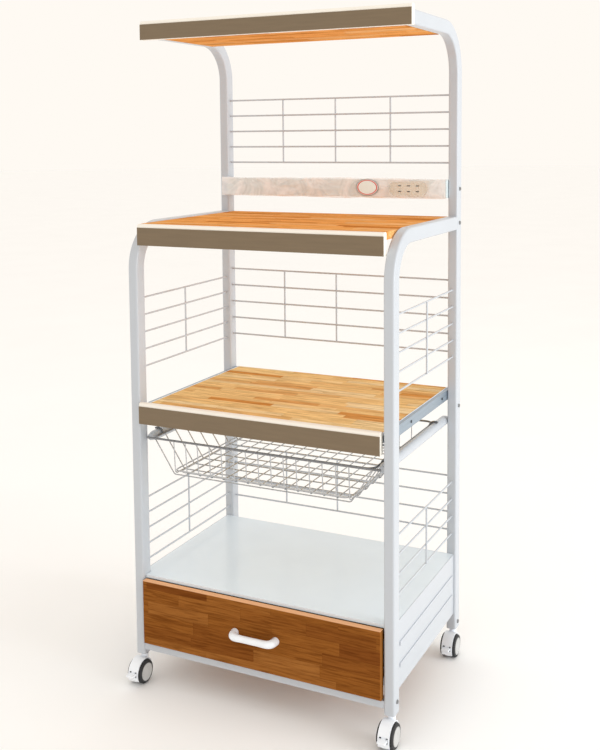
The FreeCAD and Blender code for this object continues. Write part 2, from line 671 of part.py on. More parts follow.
def make_shelf():
    """The pull-out shelf: board in a folded tray, front strip, rear rollers, and its fixed rails."""
    rails = [slide_rail("shelf_rail_" + letter, side, "slide_low", "front + 10", "rear - 4")
             for letter, side in SIDES.items()]
    node(group("shelf_rails_shape", rails), "shelf_slide_rails")
    behind = "shelf_front + fascia_skin + fascia_thick"
    low = "shelf_height - tray_height"
    walls = []
    for side in BOTH:
        tag = "tray_%d" % (side + 1)
        walls.append(mirror_block(tag + "_wall", side, "tray_reach - tray_wall", "tray_wall", behind, low,
                                  "board_rear - (%s)" % behind, "tray_height + 1"))
        walls.append(mirror_block(tag + "_shelf", side, "tray_reach - 30", "30", behind, low,
                                  "board_rear - (%s)" % behind, "tray_wall"))
    for tag, y in (("front", behind), ("rear", "board_rear - 30")):
        walls.append(block("tray_cross_" + tag, ("-tray_reach + tray_wall", y, low),
                           ("2 * (tray_reach - tray_wall)", "30", "tray_wall")))
    node(fuse("shelf_tray_shape", walls), "shelf_tray")
    base = "%s + tray_wall" % low
    plank = block("shelf_board_shape", ("-(tray_reach - tray_wall - gap)", behind, base),
                  ("2 * (tray_reach - tray_wall - gap)", "board_rear - (%s)" % behind,
                   "shelf_height - (%s)" % base))
    node(plank, "shelf_board")
    fascia("shelf_fascia", "post_inner - shelf_fascia_gap", "shelf_front",
           "shelf_height + 8 - fascia_height", "fascia_height")
    rollers = [slide_roller("shelf_roller_" + letter, side, "slide_low", "rear - 4 - roller_back", "tray_reach")
               for letter, side in SIDES.items()]
    node(group("shelf_rollers_shape", rollers), "shelf_rollers")


# ---------------------------------------------------------------- basket

def basket_rail(name, side):
    """A side rail: a thin round tube with both ends drawn down and screwed to the posts."""
    x = signed(side, "rail_reach")
    y0 = "front + rail_start + rail_crimp"
    y1 = "board_rear - rail_crimp"
    straight = "%s - (%s)" % (y1, y0)
    tube = rod(name + "_tube", (x, y0, "basket_rail_z"), "y", "basket_rail_size / 2", straight)
    ends = []
    for tag, y, turn in (("front", y0, 90), ("rear", y1, -90)):
        end = DOC.addObject("Part::Cone", "%s_%s" % (name, tag))
        bind(end, Radius1="basket_rail_size / 2", Radius2="basket_rail_size / 3", Height="rail_crimp")
        end.Placement = FreeCAD.Placement(Vector(), Rotation(Vector(1, 0, 0), turn))
        place(end, x, y, "basket_rail_z")
        ends.append(end)
    bore = rod(name + "_bore", (x, y0, "basket_rail_z"), "y",
               "basket_rail_size / 2 - basket_rail_wall", straight)
    return cut(name, fuse(name + "_solid", [tube] + ends), bore)


def basket_hook(name, side, y):
    """A hook bent up from the side rim wire over the top of its rail."""
    arc = DOC.addObject("Part::Torus", name + "_arc")
    bind(arc, Radius1="basket_rail_size / 2 + hook_gap + hook_wire / 2", Radius2="hook_wire / 2")
    arc.Angle3 = 120
    spin = Rotation(Vector(0, 0, 1), 0 if side < 0 else 60)
    arc.Placement = FreeCAD.Placement(Vector(), Rotation(Vector(1, 0, 0), 90) * spin)
    place(arc, signed(side, "rail_reach"), y, "basket_rail_z")
    return arc


def make_basket():
    rails = [basket_rail("basket_rail_" + letter, side) for letter, side in SIDES.items()]
    node(group("basket_rails_shape", rails), "basket_rails")
    rim = DOC.addObject("PartDesign::Body", "basket_rim_body")
    loop = new_sketch(rim, "rim_path", "XY_Plane")
    loop.setExpression("AttachmentOffset.Base.y", full("(rim_y0 + rim_y1) / 2"))
    loop.setExpression("AttachmentOffset.Base.z", full("rim_z"))
    rounded_rectangle(loop, "rim", "2 * rim_reach", "rim_y1 - rim_y0", "basket_corner")
    section = new_sketch(rim, "rim_section", "YZ_Plane")
    section.setExpression("AttachmentOffset.Base.y", full("rim_z"))
    section.setExpression("AttachmentOffset.Base.x", full("rim_y1"))
    section.addGeometry(Part.Circle(Vector(0, 0, 0), Vector(0, 0, 1), value("rim_wire / 2")), False)
    section.addConstraint(Sketcher.Constraint("Coincident", 0, 3, -1, 1))
    constrain(section, "Radius", "wire", "rim_wire / 2", 0)
    DOC.recompute()
    pipe = rim.newObject("PartDesign::AdditivePipe", "rim_pipe")
    pipe.Profile = section
    pipe.Spine = loop
    rim.Tip = pipe
    pieces = [rim]
    for side in BOTH:
        tag = "rim_%d" % (side + 1)
        near = "rim_reach - basket_corner" if side > 0 else "-ear_reach"
        pieces.append(rod(tag + "_ear", (near, "rim_y0", "rim_z"), "x", "rim_wire / 2",
                          "ear_reach - rim_reach + basket_corner"))
        pieces.append(basket_hook(tag + "_hook_front", side, "front + rail_start + rail_crimp + hook_inset"))
        pieces.append(basket_hook(tag + "_hook_rear", side, "rim_y1 - basket_corner - hook_inset"))
    node(fuse("basket_rim_shape", pieces), "basket_rim")
    make_basket_mesh()


CROSS_WIRES = 15
LONG_WIRES = 10


def make_basket_mesh():
    """The basket's walls and floor: thin wires that lean in towards the floor."""
    radius = "mesh_wire / 2"
    short = "rim_wire / 2 + weld_gap"
    y0 = "rim_y0 + basket_rake"
    y1 = "rim_y1 - basket_rake"
    taper = "basket_side_rake"
    step_x = "2 * basket_floor_half / %d" % (CROSS_WIRES - 1)
    step_y = "(%s - (%s)) / %d" % (y1, y0, LONG_WIRES - 1)
    long_z = "floor_z - 0.62 * mesh_wire"
    cross_z = "floor_z - 1.42 * mesh_wire"
    side_z = "floor_z - 0.55 * mesh_wire"
    walls = []
    for tag, y, lean in (("front", y0, -1), ("rear", y1, 1)):
        wires = [leaning_rod("basket_%s_%d" % (tag, number),
                             ("-basket_floor_half + %d * %s" % (number, step_x), y, "floor_z"),
                             "x", lean, "basket_depth", "basket_rake", short, radius)
                 for number in range(CROSS_WIRES)]
        wires.append(rod("basket_%s_level" % tag,
                         ("-basket_floor_half - 2", "%s + %d * mesh_wire * 0.8" % (y, lean),
                          "floor_z + edge_wire_lift"), "x", radius, "2 * basket_floor_half + 4"))
        walls.append(fuse("basket_wall_" + tag, wires))
    for side in BOTH:
        tag = "basket_side_%d" % (side + 1)
        wires = [leaning_rod("%s_%d" % (tag, number),
                             (signed(side, "basket_floor_half + mesh_wire"),
                              "%s + %d * (%s)" % (y0, number, step_y), side_z),
                             "y", side, "rim_z - (%s)" % side_z, taper + " - mesh_wire", short, radius)
                 for number in range(LONG_WIRES)]
        x = "basket_floor_half + 1.5 * mesh_wire + %s * edge_wire_lift / basket_depth" % taper
        wires.append(rod(tag + "_level", (signed(side, x), y0 + " - 2", "floor_z + edge_wire_lift"),
                         "y", radius, "%s - (%s) + 4" % (y1, y0)))
        walls.append(fuse("basket_wall_side_%d" % (side + 1), wires))
    node(group("basket_walls_shape", walls), "basket_wall_wires")
    floor = [rod("basket_floor_y_%d" % number, ("-basket_floor_half + %d * %s" % (number, step_x), y0, long_z),
                 "y", radius, "%s - (%s)" % (y1, y0)) for number in range(CROSS_WIRES)]
    floor += [rod("basket_floor_x_%d" % number,
                  ("-basket_floor_half - mesh_wire * 1.5", "%s + %d * (%s)" % (y0, number, step_y), cross_z),
                  "x", radius, "2 * basket_floor_half + mesh_wire * 3") for number in range(LONG_WIRES)]
    node(fuse("basket_floor_shape", floor), "basket_floor_wires")


# ---------------------------------------------------------------- cabinet and drawer

def make_cabinet():
    sheet = "cabinet_sheet"
    y0 = "front + 10"
    deep = "cabinet_back - (%s)" % y0
    half = "post_inner - gap"
    top = block("cabinet_top_sheet", ("-(%s)" % half, y0, "cabinet_height - " + sheet),
                ("2 * (%s)" % half, deep, sheet))
    pieces = [top]
    for tag, y in (("front", y0), ("rear", "cabinet_back - " + sheet)):
        pieces.append(block("cabinet_top_" + tag, ("-(%s)" % half, y, "cabinet_height - cabinet_flange / 2"),
                            ("2 * (%s)" % half, sheet, "cabinet_flange / 2")))
    for side in BOTH:
        pieces.append(mirror_block("cabinet_wing_%d" % (side + 1), side, half,
                                   "side_panel - %s - gap - (%s)" % (sheet, half), "front_post_back + gap",
                                   "cabinet_height - " + sheet, "between_posts - 2 * gap", sheet))
    node(fuse("cabinet_top_shape", pieces), "cabinet_top_panel")
    panels = []
    for letter, side in SIDES.items():
        y = "front_post_back + gap"
        long = "between_posts - 2 * gap"
        high = "cabinet_height - cabinet_bottom"
        parts = [mirror_block("side_sheet_" + letter, side, "side_panel - " + sheet, sheet, y,
                              "cabinet_bottom", long, high)]
        for tag, z in (("low", "cabinet_bottom + (%s) * 0.3" % high), ("high", "cabinet_bottom + (%s) * 0.62" % high)):
            parts.append(mirror_block("side_rib_%s_%s" % (tag, letter), side, "side_panel", "rib_proud",
                                      "%s + 12" % y, z, "%s - 24" % long, "rib_height"))
        for tag, z in (("bottom", "cabinet_bottom"), ("top", "cabinet_height - 2.5 * " + sheet)):
            parts.append(mirror_block("side_lip_%s_%s" % (tag, letter), side, "side_panel - cabinet_flange + 4",
                                      "cabinet_flange - 4", y, z, long, sheet))
        panels.append(fuse("side_panel_shape_" + letter, parts))
    node(group("side_panels_shape", panels), "cabinet_side_panels")
    node(block("cabinet_back_shape", ("-(%s)" % half, "cabinet_back + gap", "cabinet_bottom"),
               ("2 * (%s)" % half, sheet, "cabinet_height - cabinet_flange / 2 - cabinet_bottom")),
         "cabinet_back_panel")
    outside = block("front_rail_blank", ("-(post_inner)", "front + 1", "front_rail_bottom"),
                    ("2 * post_inner", "front_rail_depth", "front_rail_height"))
    inside = block("front_rail_hollow", ("-(post_inner) - 1", "front + 1 + 1.2", "front_rail_bottom - 1"),
                   ("2 * post_inner + 2", "front_rail_depth", "front_rail_height - 0.2"))
    node(cut("front_rail_shape", outside, inside), "cabinet_front_rail")
    runners = []
    for letter, side in SIDES.items():
        rail = slide_rail("runner_" + letter, side, "runner_low", "front + 12", "rear_post_front - gap")
        tab = mirror_block("runner_tab_" + letter, side, "slide_web", "12", "rear_post_front - gap - slide_sheet",
                           "runner_low", "slide_sheet", "slide_height")
        runners.append(fuse("runner_shape_" + letter, [rail, tab]))
    node(group("runners_shape", runners), "drawer_runners")


def make_drawer():
    blank = block("drawer_front_blank", ("-drawer_half", "drawer_front", "drawer_bottom_edge"),
                  ("2 * drawer_half", "drawer_thick", "drawer_height"))
    front = value("drawer_front")
    rounded = round_edges("drawer_front_shape", blank, "drawer_round",
                          lambda edge: abs(edge.CenterOfMass.y - front) < 0.1)
    node(rounded, "drawer_front")
    y0 = "drawer_box_front"
    deep = "drawer_box_back - drawer_box_front"
    outside = block("drawer_blank", ("-(tray_reach)", y0, "drawer_box_low"),
                    ("2 * tray_reach", deep, "drawer_box_height"))
    inside = block("drawer_inside", ("-(tray_reach - drawer_wall)", "%s - 1" % y0, "drawer_box_low - 1"),
                   ("2 * (tray_reach - drawer_wall)", "%s + 1 - drawer_wall" % deep, "drawer_box_height + 2"))
    node(cut("drawer_walls_shape", outside, inside), "drawer_walls")
    node(block("drawer_floor_shape", ("-(tray_reach - drawer_wall - 0.1)", y0, "drawer_box_low + 4"),
               ("2 * (tray_reach - drawer_wall - 0.1)", "%s - drawer_wall - 0.1" % deep, "drawer_floor")),
         "drawer_bottom_board")
    rollers = [slide_roller("drawer_roller_" + letter, side, "runner_low", "drawer_box_back - roller_back",
                            "tray_reach") for letter, side in SIDES.items()]
    node(group("drawer_rollers_shape", rollers), "drawer_rollers")
    make_handle()


def make_handle():
    """A moulded bow handle: a flat arch on two feet."""
    body = DOC.addObject("PartDesign::Body", "handle_body")
    plan = new_sketch(body, "handle_plan", "XY_Plane")
    plan.setExpression("AttachmentOffset.Base.y", full("drawer_front"))
    plan.setExpression("AttachmentOffset.Base.z", full("handle_height - handle_width / 2"))
    half = value("handle_spacing / 2 + handle_thick / 2")
    reach = value("handle_reach")
    thick = value("handle_thick")
    bevel = value("handle_bevel")
    chamfer = value("handle_inner_bevel")
    inner = half - thick
    outline = [(-half, 0), (-half, -reach + bevel), (-half + bevel, -reach), (half - bevel, -reach),
               (half, -reach + bevel), (half, 0), (inner, 0), (inner, -reach + thick + chamfer),
               (inner - chamfer, -reach + thick), (-inner + chamfer, -reach + thick),
               (-inner, -reach + thick + chamfer), (-inner, 0)]
    points = [Vector(x, y, 0) for x, y in outline]
    for start, end in zip(points, points[1:] + points[:1]):
        plan.addGeometry(Part.LineSegment(start, end), False)
    count = len(points)
    for number in range(count):
        plan.addConstraint(Sketcher.Constraint("Coincident", number, 2, (number + 1) % count, 1))
    whole = "handle_spacing / 2 + handle_thick / 2"
    hole = "handle_spacing / 2 - handle_thick / 2"
    deep = "handle_reach - handle_thick"
    outer_side = (whole, "handle_reach - handle_bevel")
    outer_front = (whole + " - handle_bevel", "handle_reach")
    inner_side = (hole, deep + " - handle_inner_bevel")
    inner_front = (hole + " - handle_inner_bevel", deep)
    names = [(whole, "0"), outer_side, outer_front, outer_front, outer_side, (whole, "0"), (hole, "0"),
             inner_side, inner_front, inner_front, inner_side, (hole, "0")]
    for number, (across, ahead) in enumerate(names):
        side = 1 if outline[number][0] > 0 else -1
        pair = (-1, 1, number, 1) if side > 0 else (number, 1, -1, 1)
        constrain(plan, "DistanceX", "across_%d" % number, across, *pair)
        if outline[number][1] == 0:
            plan.addConstraint(Sketcher.Constraint("PointOnObject", number, 1, -1))
        else:
            constrain(plan, "DistanceY", "ahead_%d" % number, ahead, number, 1, -1, 1)
    pad = body.newObject("PartDesign::Pad", "handle_pad")
    pad.Profile = plan
    bind(pad, Length="handle_width")
    DOC.recompute()
    edges = ["Edge%d" % number for number, edge in enumerate(pad.Shape.Edges, start=1)
             if not runs_along("z")(edge) and edge.CenterOfMass.y < value("drawer_front") - 2]
    soft = body.newObject("PartDesign::Fillet", "handle_soft")
    soft.Base = (pad, edges)
    bind(soft, Radius="handle_round")
    body.Tip = soft
    node(body, "drawer_handle")


# ---------------------------------------------------------------- casters

CORNERS = {
    "front_left": (-1, "front_axis"),
    "front_right": (1, "front_axis"),
    "rear_left": (-1, "rear_axis"),
    "rear_right": (1, "rear_axis"),
}


def caster(name, side, y):
    """A twin-wheel caster that trails forwards: hood, two tyres on their hubs, axle and brake lever."""
    x = signed(side, "post_middle")
    axle_y = "%s - caster_trail" % y
    axle_z = "wheel_radius"
    bore = "axle_size / 2 + running_gap"
    tyres = []
    hubs = []
    for hand in BOTH:
        tag = "%s_%d" % (name, hand + 1)
        near = "%s + wheel_spread / 2" % x if hand > 0 else "%s - wheel_spread / 2 - wheel_width" % x
        start = (near, axle_y, axle_z)
        tyre = rod(tag + "_tyre", start, "x", "wheel_radius", "wheel_width")
        seat = rod(tag + "_seat", start, "x", "hub_size / 2", "wheel_width")
        soft = round_edges(tag + "_round", cut(tag + "_ring", tyre, seat), "3",
                           lambda edge: edge.Curve.TypeId == "Part::GeomCircle"
                           and edge.Curve.Radius > value("hub_size / 2") + 1)
        tyres.append(soft)
        outer = near if hand > 0 else "%s - hub_proud" % near
        hub = rod(tag + "_hub", (outer, axle_y, axle_z), "x", "hub_size / 2", "wheel_width + hub_proud")
        start_bore = "%s - 1" % near if hand > 0 else "%s + hub_cap" % near
        drill = rod(tag + "_bore", (start_bore, axle_y, axle_z), "x", bore, "wheel_width - hub_cap + 1")
        hubs.append(cut(tag + "_hub_shape", hub, drill))
    node(group(name + "_tyres_shape", tyres), "caster_tyres_" + name)
    node(group(name + "_hubs_shape", hubs), "caster_hubs_" + name)
    caster_hood(name, x, y, axle_y, axle_z)
    caster_lever(name, x, axle_y)


def caster_hood(name, x, y, axle_y, axle_z):
    """The hood: a fender over both wheels, a web between them with the axle, and the swivel boss."""
    left = "%s - wheels_wide / 2" % x
    web = "(wheel_spread - 2 * lever_gap)"
    lever_top = "lever_height + lever_thick / 2 + 3"
    fender = rod(name + "_fender", (left + " + tyre_bare", axle_y, axle_z), "x", "hood_radius",
                 "wheels_wide - 2 * tyre_bare")
    below = block(name + "_fender_low", ("%s - 1" % left, "%s - hood_radius - 1" % axle_y, "-5"),
                  ("wheels_wide + 2", "2 * hood_radius + 2", "5 + hood_lip"))
    behind = block(name + "_fender_rear", ("%s - 1" % left, axle_y, "-5"),
                   ("wheels_wide + 2", "hood_radius + 1", "5 + " + lever_top))
    notch = block(name + "_fender_notch", ("%s - lever_width / 2 - 2 * lever_gap" % x,
                                           "%s - hood_radius - 1" % axle_y,
                                           "lever_height - lever_thick / 2 - 5"),
                  ("lever_width + 4 * lever_gap", "hood_radius", "lever_thick + 8"))
    hollow = rod(name + "_fender_hollow", ("%s - 1" % left, axle_y, axle_z), "x", "hood_radius - hood_wall",
                 "wheels_wide + 2")
    disc = rod(name + "_web", ("%s - %s / 2" % (x, web), axle_y, axle_z), "x", "hood_radius - 1", web)
    disc_low = block(name + "_web_low", ("%s - wheel_spread" % x, "%s - hood_radius" % axle_y, "-5"),
                     ("2 * wheel_spread", "2 * hood_radius", "15"))
    knuckle = rod(name + "_knuckle", ("%s - %s / 2" % (x, web), "%s - lever_pivot" % axle_y, "lever_height"),
                  "x", "lever_pin / 2 + 1.4", web)
    boss = rod(name + "_boss", (x, y, "hood_top - 24"), "z", "pin_size / 2 + 4", "24")
    keep_out = [rod("%s_clear_%d" % (name, hand + 1),
                    (("%s + %s / 2" % (x, web)) if hand > 0 else "%s - 1" % left, axle_y, axle_z),
                    "x", "wheel_radius + hood_gap", "wheel_width + 1 + lever_gap") for hand in BOTH]
    keep_out.append(rod(name + "_pin_hole", (x, y, "hood_top - 18"), "z", "pin_size / 2 + running_gap", "20"))
    keep_out.append(rod(name + "_knuckle_hole", ("%s - wheel_spread" % x, "%s - lever_pivot" % axle_y,
                                                 "lever_height"),
                        "x", "lever_pin / 2 + running_gap", "2 * wheel_spread"))
    solid = fuse(name + "_hood_solid", [cut(name + "_fender_shape", fender, [hollow, below, behind, notch]),
                                        cut(name + "_web_shape", disc, disc_low), knuckle, boss])
    axle = rod(name + "_axle", ("%s + axle_end" % left, axle_y, axle_z), "x", "axle_size / 2",
               "wheels_wide - 2 * axle_end")
    node(fuse(name + "_hood_shape", [cut(name + "_hood_cut", solid, keep_out), axle]), "caster_hood_" + name)


def caster_lever(name, x, axle_y):
    """The brake lever: a tread plate with two cheeks, on a pin through the front of the hood."""
    tip = "%s - lever_reach" % axle_y
    pivot = "%s - lever_pivot" % axle_y
    low = "lever_height - lever_thick / 2"
    plate = block(name + "_lever_plate", ("%s - lever_width / 2" % x, tip, low),
                  ("lever_width", "lever_reach - lever_pivot - lever_pin / 2 - 1.8", "lever_thick"))
    pieces = [round_edges(name + "_lever_soft", plate, "1.2",
                          lambda edge: abs(edge.CenterOfMass.y - value(tip)) < 0.1)]
    for side in BOTH:
        near = "%s + wheel_spread / 2" % x if side > 0 else "%s - lever_width / 2" % x
        pieces.append(block("%s_cheek_%d" % (name, side + 1), (near, "%s - 4" % pivot, low),
                            ("lever_width / 2 - wheel_spread / 2", "6", "lever_thick")))
    pieces.append(rod(name + "_lever_pin", ("%s - lever_width / 2" % x, pivot, "lever_height"), "x",
                      "lever_pin / 2", "lever_width"))
    node(fuse(name + "_lever_shape", pieces), "caster_lever_" + name)


def make_casters():
    for name, (side, y) in CORNERS.items():
        caster(name, side, y)
    pins = []
    sockets = []
    for name, (side, y) in CORNERS.items():
        x = signed(side, "post_middle")
        collar = rod(name + "_collar", (x, y, "hood_top + 0.3"), "z", "pin_size / 2 + 4", "collar_height - 0.3")
        stem = rod(name + "_stem", (x, y, "hood_top - 17.5"), "z", "pin_size / 2",
                   "17.5 + collar_height + pin_engage")
        pins.append(fuse(name + "_pin_shape", [collar, stem]))
        inside = "tube_wall + shank_gap"
        plug = block(name + "_plug", ("%s - tube_width / 2 + %s" % (x, inside),
                                      "%s - tube_depth / 2 + %s" % (y, inside), "caster_height"),
                     ("tube_width - 2 * (%s)" % inside, "tube_depth - 2 * (%s)" % inside, "pin_engage + 4"))
        rounded = round_edges(name + "_plug_round", plug, "tube_round - tube_wall", runs_along("z"))
        bolt = "front_foot" if "front" in name else "rear_foot"
        bolt_y, bolt_z = BOLTS[bolt]
        inner = "half_width - bolt_length - 1" if side > 0 else "-half_width"
        room = rod(name + "_bolt_room", (inner, bolt_y, bolt_z), "x", "bolt_shank / 2 + shank_gap",
                   "bolt_length + 1")
        bore = rod(name + "_socket_bore", (x, y, "caster_height - 1"), "z", "pin_size / 2 + running_gap",
                   "pin_engage + 2")
        sockets.append(cut(name + "_socket_shape", rounded, [bore, room]))
    node(group("pins_shape", pins), "caster_pins")
    node(group("sockets_shape", sockets), "caster_sockets")


# ---------------------------------------------------------------- power strip

def make_power_strip():
    half = "post_inner - gap"
    case = block("strip_case_blank", ("-(%s)" % half, "strip_front", "strip_low"),
                 ("2 * (%s)" % half, "strip_deep", "strip_tall"))
    rounded = round_edges("strip_case_round", case, "4", runs_along("x"))
    hollow = block("strip_case_hollow", ("-(%s) + strip_wall" % half, "strip_front + strip_wall",
                                         "strip_low + strip_wall"),
                   ("2 * (%s) - 2 * strip_wall" % half, "strip_deep - 2 * strip_wall", "strip_tall - 2 * strip_wall"))
    window = block("strip_window", ("outlet_centre - outlet_plate / 2 + 3", "strip_front - 1", "strip_low + 5"),
                   ("outlet_plate - 6", "strip_wall + 2", "strip_tall - 10"))
    node(cut("strip_case_shape", rounded, [hollow, window]), "power_strip_case")
    plate = block("outlet_plate_blank", ("outlet_centre - outlet_plate / 2", "strip_front - plate_thick",
                                         "strip_low + 2"), ("outlet_plate", "plate_thick", "strip_tall - 4"))
    slots = []
    for number in (-1, 0, 1):
        for row in BOTH:
            slots.append(block("slot_%d_%d" % (number + 1, row + 1),
                               ("outlet_centre + %d * outlet_pitch - slot_long / 2" % number,
                                "strip_front - plate_thick - 1",
                                "strip_height + %d * slot_pitch / 2 - slot_high / 2" % row),
                               ("slot_long", "plate_thick + 2", "slot_high")))
    node(cut("outlet_plate_shape", plate, slots), "power_strip_outlet_plate")
    left = "-(%s)" % half
    film_wide = "outlet_centre - outlet_plate / 2 - 6 + (%s)" % half
    outer = block("film_outer", (left, "strip_front - film_gap - film_sheet", "strip_low - film_gap - film_sheet"),
                  (film_wide, "strip_proud + film_gap + film_sheet - 1",
                   "strip_tall + 2 * (film_gap + film_sheet)"))
    inner = block("film_inner", (left + " - 1", "strip_front - film_gap", "strip_low - film_gap"),
                  (film_wide + " + 2", "strip_deep", "strip_tall + 2 * film_gap"))
    node(cut("film_shape", outer, inner), "power_strip_film")


# ---------------------------------------------------------------- build, check, write

make_posts()
make_boards()
make_grilles()
make_shelf()
make_basket()
make_cabinet()
make_drawer()
make_casters()
make_power_strip()

DOC.recompute()
for item in DOC.Objects:
    if "Invalid" in item.State or "Error" in item.State:
        raise RuntimeError("%s failed: %s" % (item.Name, item.State))
for item in NODES:
    if item.Shape.isNull() or not item.Shape.isValid():
        raise RuntimeError("%s has no valid shape" % item.Label)

os.makedirs("parts", exist_ok=True)
for item in NODES:
    item.Shape.exportStep(os.path.join("parts", item.Label + ".step"))
    print("%-28s %3d solids  %10.0f mm3" % (item.Label, len(item.Shape.Solids), item.Shape.Volume))
print(len(NODES), "nodes")
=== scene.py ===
import json
import math

import bmesh
import bpy
from bpy.props import FloatProperty, FloatVectorProperty, IntProperty, PointerProperty
from mathutils import Matrix, Vector, noise

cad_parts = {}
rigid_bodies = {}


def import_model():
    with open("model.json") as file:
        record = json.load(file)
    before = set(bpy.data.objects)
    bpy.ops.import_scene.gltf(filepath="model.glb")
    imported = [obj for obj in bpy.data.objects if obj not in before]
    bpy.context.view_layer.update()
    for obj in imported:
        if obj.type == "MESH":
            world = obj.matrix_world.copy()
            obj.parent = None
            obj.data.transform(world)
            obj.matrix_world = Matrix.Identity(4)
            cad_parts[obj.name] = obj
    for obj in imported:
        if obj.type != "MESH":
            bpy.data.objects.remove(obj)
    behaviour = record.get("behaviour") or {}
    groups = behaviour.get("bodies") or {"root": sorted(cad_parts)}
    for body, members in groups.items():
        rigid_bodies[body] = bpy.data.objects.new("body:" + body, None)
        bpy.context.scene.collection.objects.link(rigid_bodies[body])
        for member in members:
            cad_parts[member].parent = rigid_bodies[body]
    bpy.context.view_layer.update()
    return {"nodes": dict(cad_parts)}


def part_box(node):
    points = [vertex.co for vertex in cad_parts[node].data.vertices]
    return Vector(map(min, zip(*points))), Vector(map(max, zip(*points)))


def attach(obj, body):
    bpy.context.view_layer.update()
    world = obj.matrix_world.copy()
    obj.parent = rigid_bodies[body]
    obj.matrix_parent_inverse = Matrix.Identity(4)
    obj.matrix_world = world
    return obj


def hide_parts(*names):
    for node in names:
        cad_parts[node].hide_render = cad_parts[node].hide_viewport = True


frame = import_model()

bl_info = {
    "name": "Microwave cart",
    "version": (1, 0, 0),
    "blender": (4, 5, 0),
    "location": "3D View > Sidebar > Cart",
    "description": "Dresses the steel-tube microwave cart: finishes, wire basket, film, handle, casters",
    "category": "Object",
}

MM = 0.001
CASTERS = ("front_left", "front_right", "rear_left", "rear_right")
FILM_OFF = 1.2 * MM         # between the film and the case under it
FILM_LAP = 12 * MM          # film folded over the top and the bottom of the case
SCREW_BACK = (156, 356)     # millimetres from the front posts' face to each screw of a slide rail
PHOTO_SIZE = (600, 750)     # pixels of the photograph


# ---------------------------------------------------------------- colours, sizes

def rgb(code):
    """An sRGB hex colour as linear values."""
    parts = [int(code[i:i + 2], 16) / 255 for i in (1, 3, 5)]
    return tuple(c / 12.92 if c <= 0.04045 else ((c + 0.055) / 1.055) ** 2.4 for c in parts)


def colour(name, code, text):
    return FloatVectorProperty(name=name, description=text, subtype="COLOR", size=3,
                               min=0, max=1, default=rgb(code))


def length(name, size, text):
    return FloatProperty(name=name, description=text, default=size * MM, min=0,
                         subtype="DISTANCE", unit="LENGTH")


class CartColours(bpy.types.PropertyGroup):
    powder: colour("Powder coat", "#C2C7CE", "White powder coat on tube and grilles")
    # The cabinet top is set lighter and bluer than the powder coat on the rest of the cabinet: painted light,
    # for the cool glossy reflection on the top and to lift it out of the shade under the shelves.
    top_sheet_lit: colour("Sheet white", "#E9F5FF", "Glossy white of the cabinet's top sheet")
    board_light: colour("Board light", "#FFCC90", "Lightest strip of the fixed boards")
    board_mid: colour("Board middle", "#FDB66A", "Commonest strip of the fixed boards")
    board_dark: colour("Board dark", "#D58740", "Darkest strip of the fixed boards")
    # The pull-out board is the same laminate as the fixed boards; its three tones are set lighter as painted
    # light falling on it from the front.
    pull_light: colour("Pull-out board light", "#FFECC0", "Lightest strip of the pull-out board")
    pull_mid: colour("Pull-out board middle", "#FFDC9C", "Commonest strip of the pull-out board")
    pull_dark: colour("Pull-out board dark", "#E2A158", "Darkest strip of the pull-out board")
    drawer_light: colour("Drawer light", "#A56C36", "Lightest block of the drawer front")
    drawer_mid: colour("Drawer middle", "#955C28", "Commonest block of the drawer front")
    drawer_dark: colour("Drawer dark", "#814A1F", "Darkest block of the drawer front")
    # The drawer's rounded top edge is painted lighter where it faces up: a painted highlight.
    drawer_top_highlight: colour("Drawer edge", "#EDB78C", "Lighter rounded top edge of the drawer front")
    drawer_side: colour("Drawer side", "#93602F", "Slim side edges of the drawer front")
    strip_face: colour("Front strip face", "#79674F", "Taupe face of the front strips")
    strip_edge: colour("Front strip edge", "#F8F2E8", "Cream rounded edge of the front strips")
    chrome: colour("Chrome", "#C9CBCE", "Bright chrome of the basket's mesh")
    # The rim has the same plating as the mesh; its chrome is set much darker as a painted dark reflection.
    rod_chrome_painted_dark: colour("Chrome rod", "#8B8C8F", "Darker mirror of the basket's thick rim")
    zinc: colour("Zinc", "#A3B1BE", "Zinc plating of the slides")
    tyre: colour("Tyre", "#1E1F21", "Soft black tread of the casters")
    hub: colour("Hub", "#C9C9C8", "Grey plastic of the wheel hubs")
    plastic: colour("White plastic", "#F5F9FF", "Handle, hoods and levers")
    strip_case: colour("Strip case", "#E9F4F6", "Pale case of the power strip")
    outlet: colour("Outlet plastic", "#E6E3D6", "Beige plate with the outlets")
    ring: colour("Sticker ring", "#D8392F", "Ring of the bare oval sticker")
    floor: colour("Floor", "#FFFFFF", "Pale studio floor")


class CartSizes(bpy.types.PropertyGroup):
    mesh_wire: length("Mesh wire", 2.6, "Diameter of the basket's mesh wires")
    wire_bend: length("Wire bend", 8.0, "Bend radius where a basket wall turns into the floor")
    side_wires: IntProperty(name="Side wires", description="Wires that cross the basket", default=10, min=3)
    front_wires: IntProperty(name="Front wires", description="Wires that run back in the basket",
                             default=15, min=3)
    film_crease: length("Film crease", 3.6, "Depth of the creases in the loose film")
    film_past: length("Film past the post", 11.0, "Film that sticks out in front of the left post")
    sticker_wide: length("Sticker width", 55.0, "Width of the oval sticker")
    sticker_high: length("Sticker height", 38.0, "Height of the oval sticker")
    screw_head: length("Screw head", 6.0, "Diameter of the screws in the slide rails")
    wheel_gap: length("Wheel gap", 10.0, "Between the two wheels of a caster")
    handle_bar: length("Handle bar", 17.0, "Thickness of the handle's bow")
    board_strip: length("Board strip", 20.0, "Width of a strip in the butcher-block pattern")
    board_stave: length("Board stave", 155.0, "Length of a strip in the butcher-block pattern")
    drawer_strip: length("Drawer strip", 27.0, "Height of a block in the drawer's pattern")
    drawer_stave: length("Drawer stave", 150.0, "Length of a block in the drawer's pattern")


# ---------------------------------------------------------------- material helpers

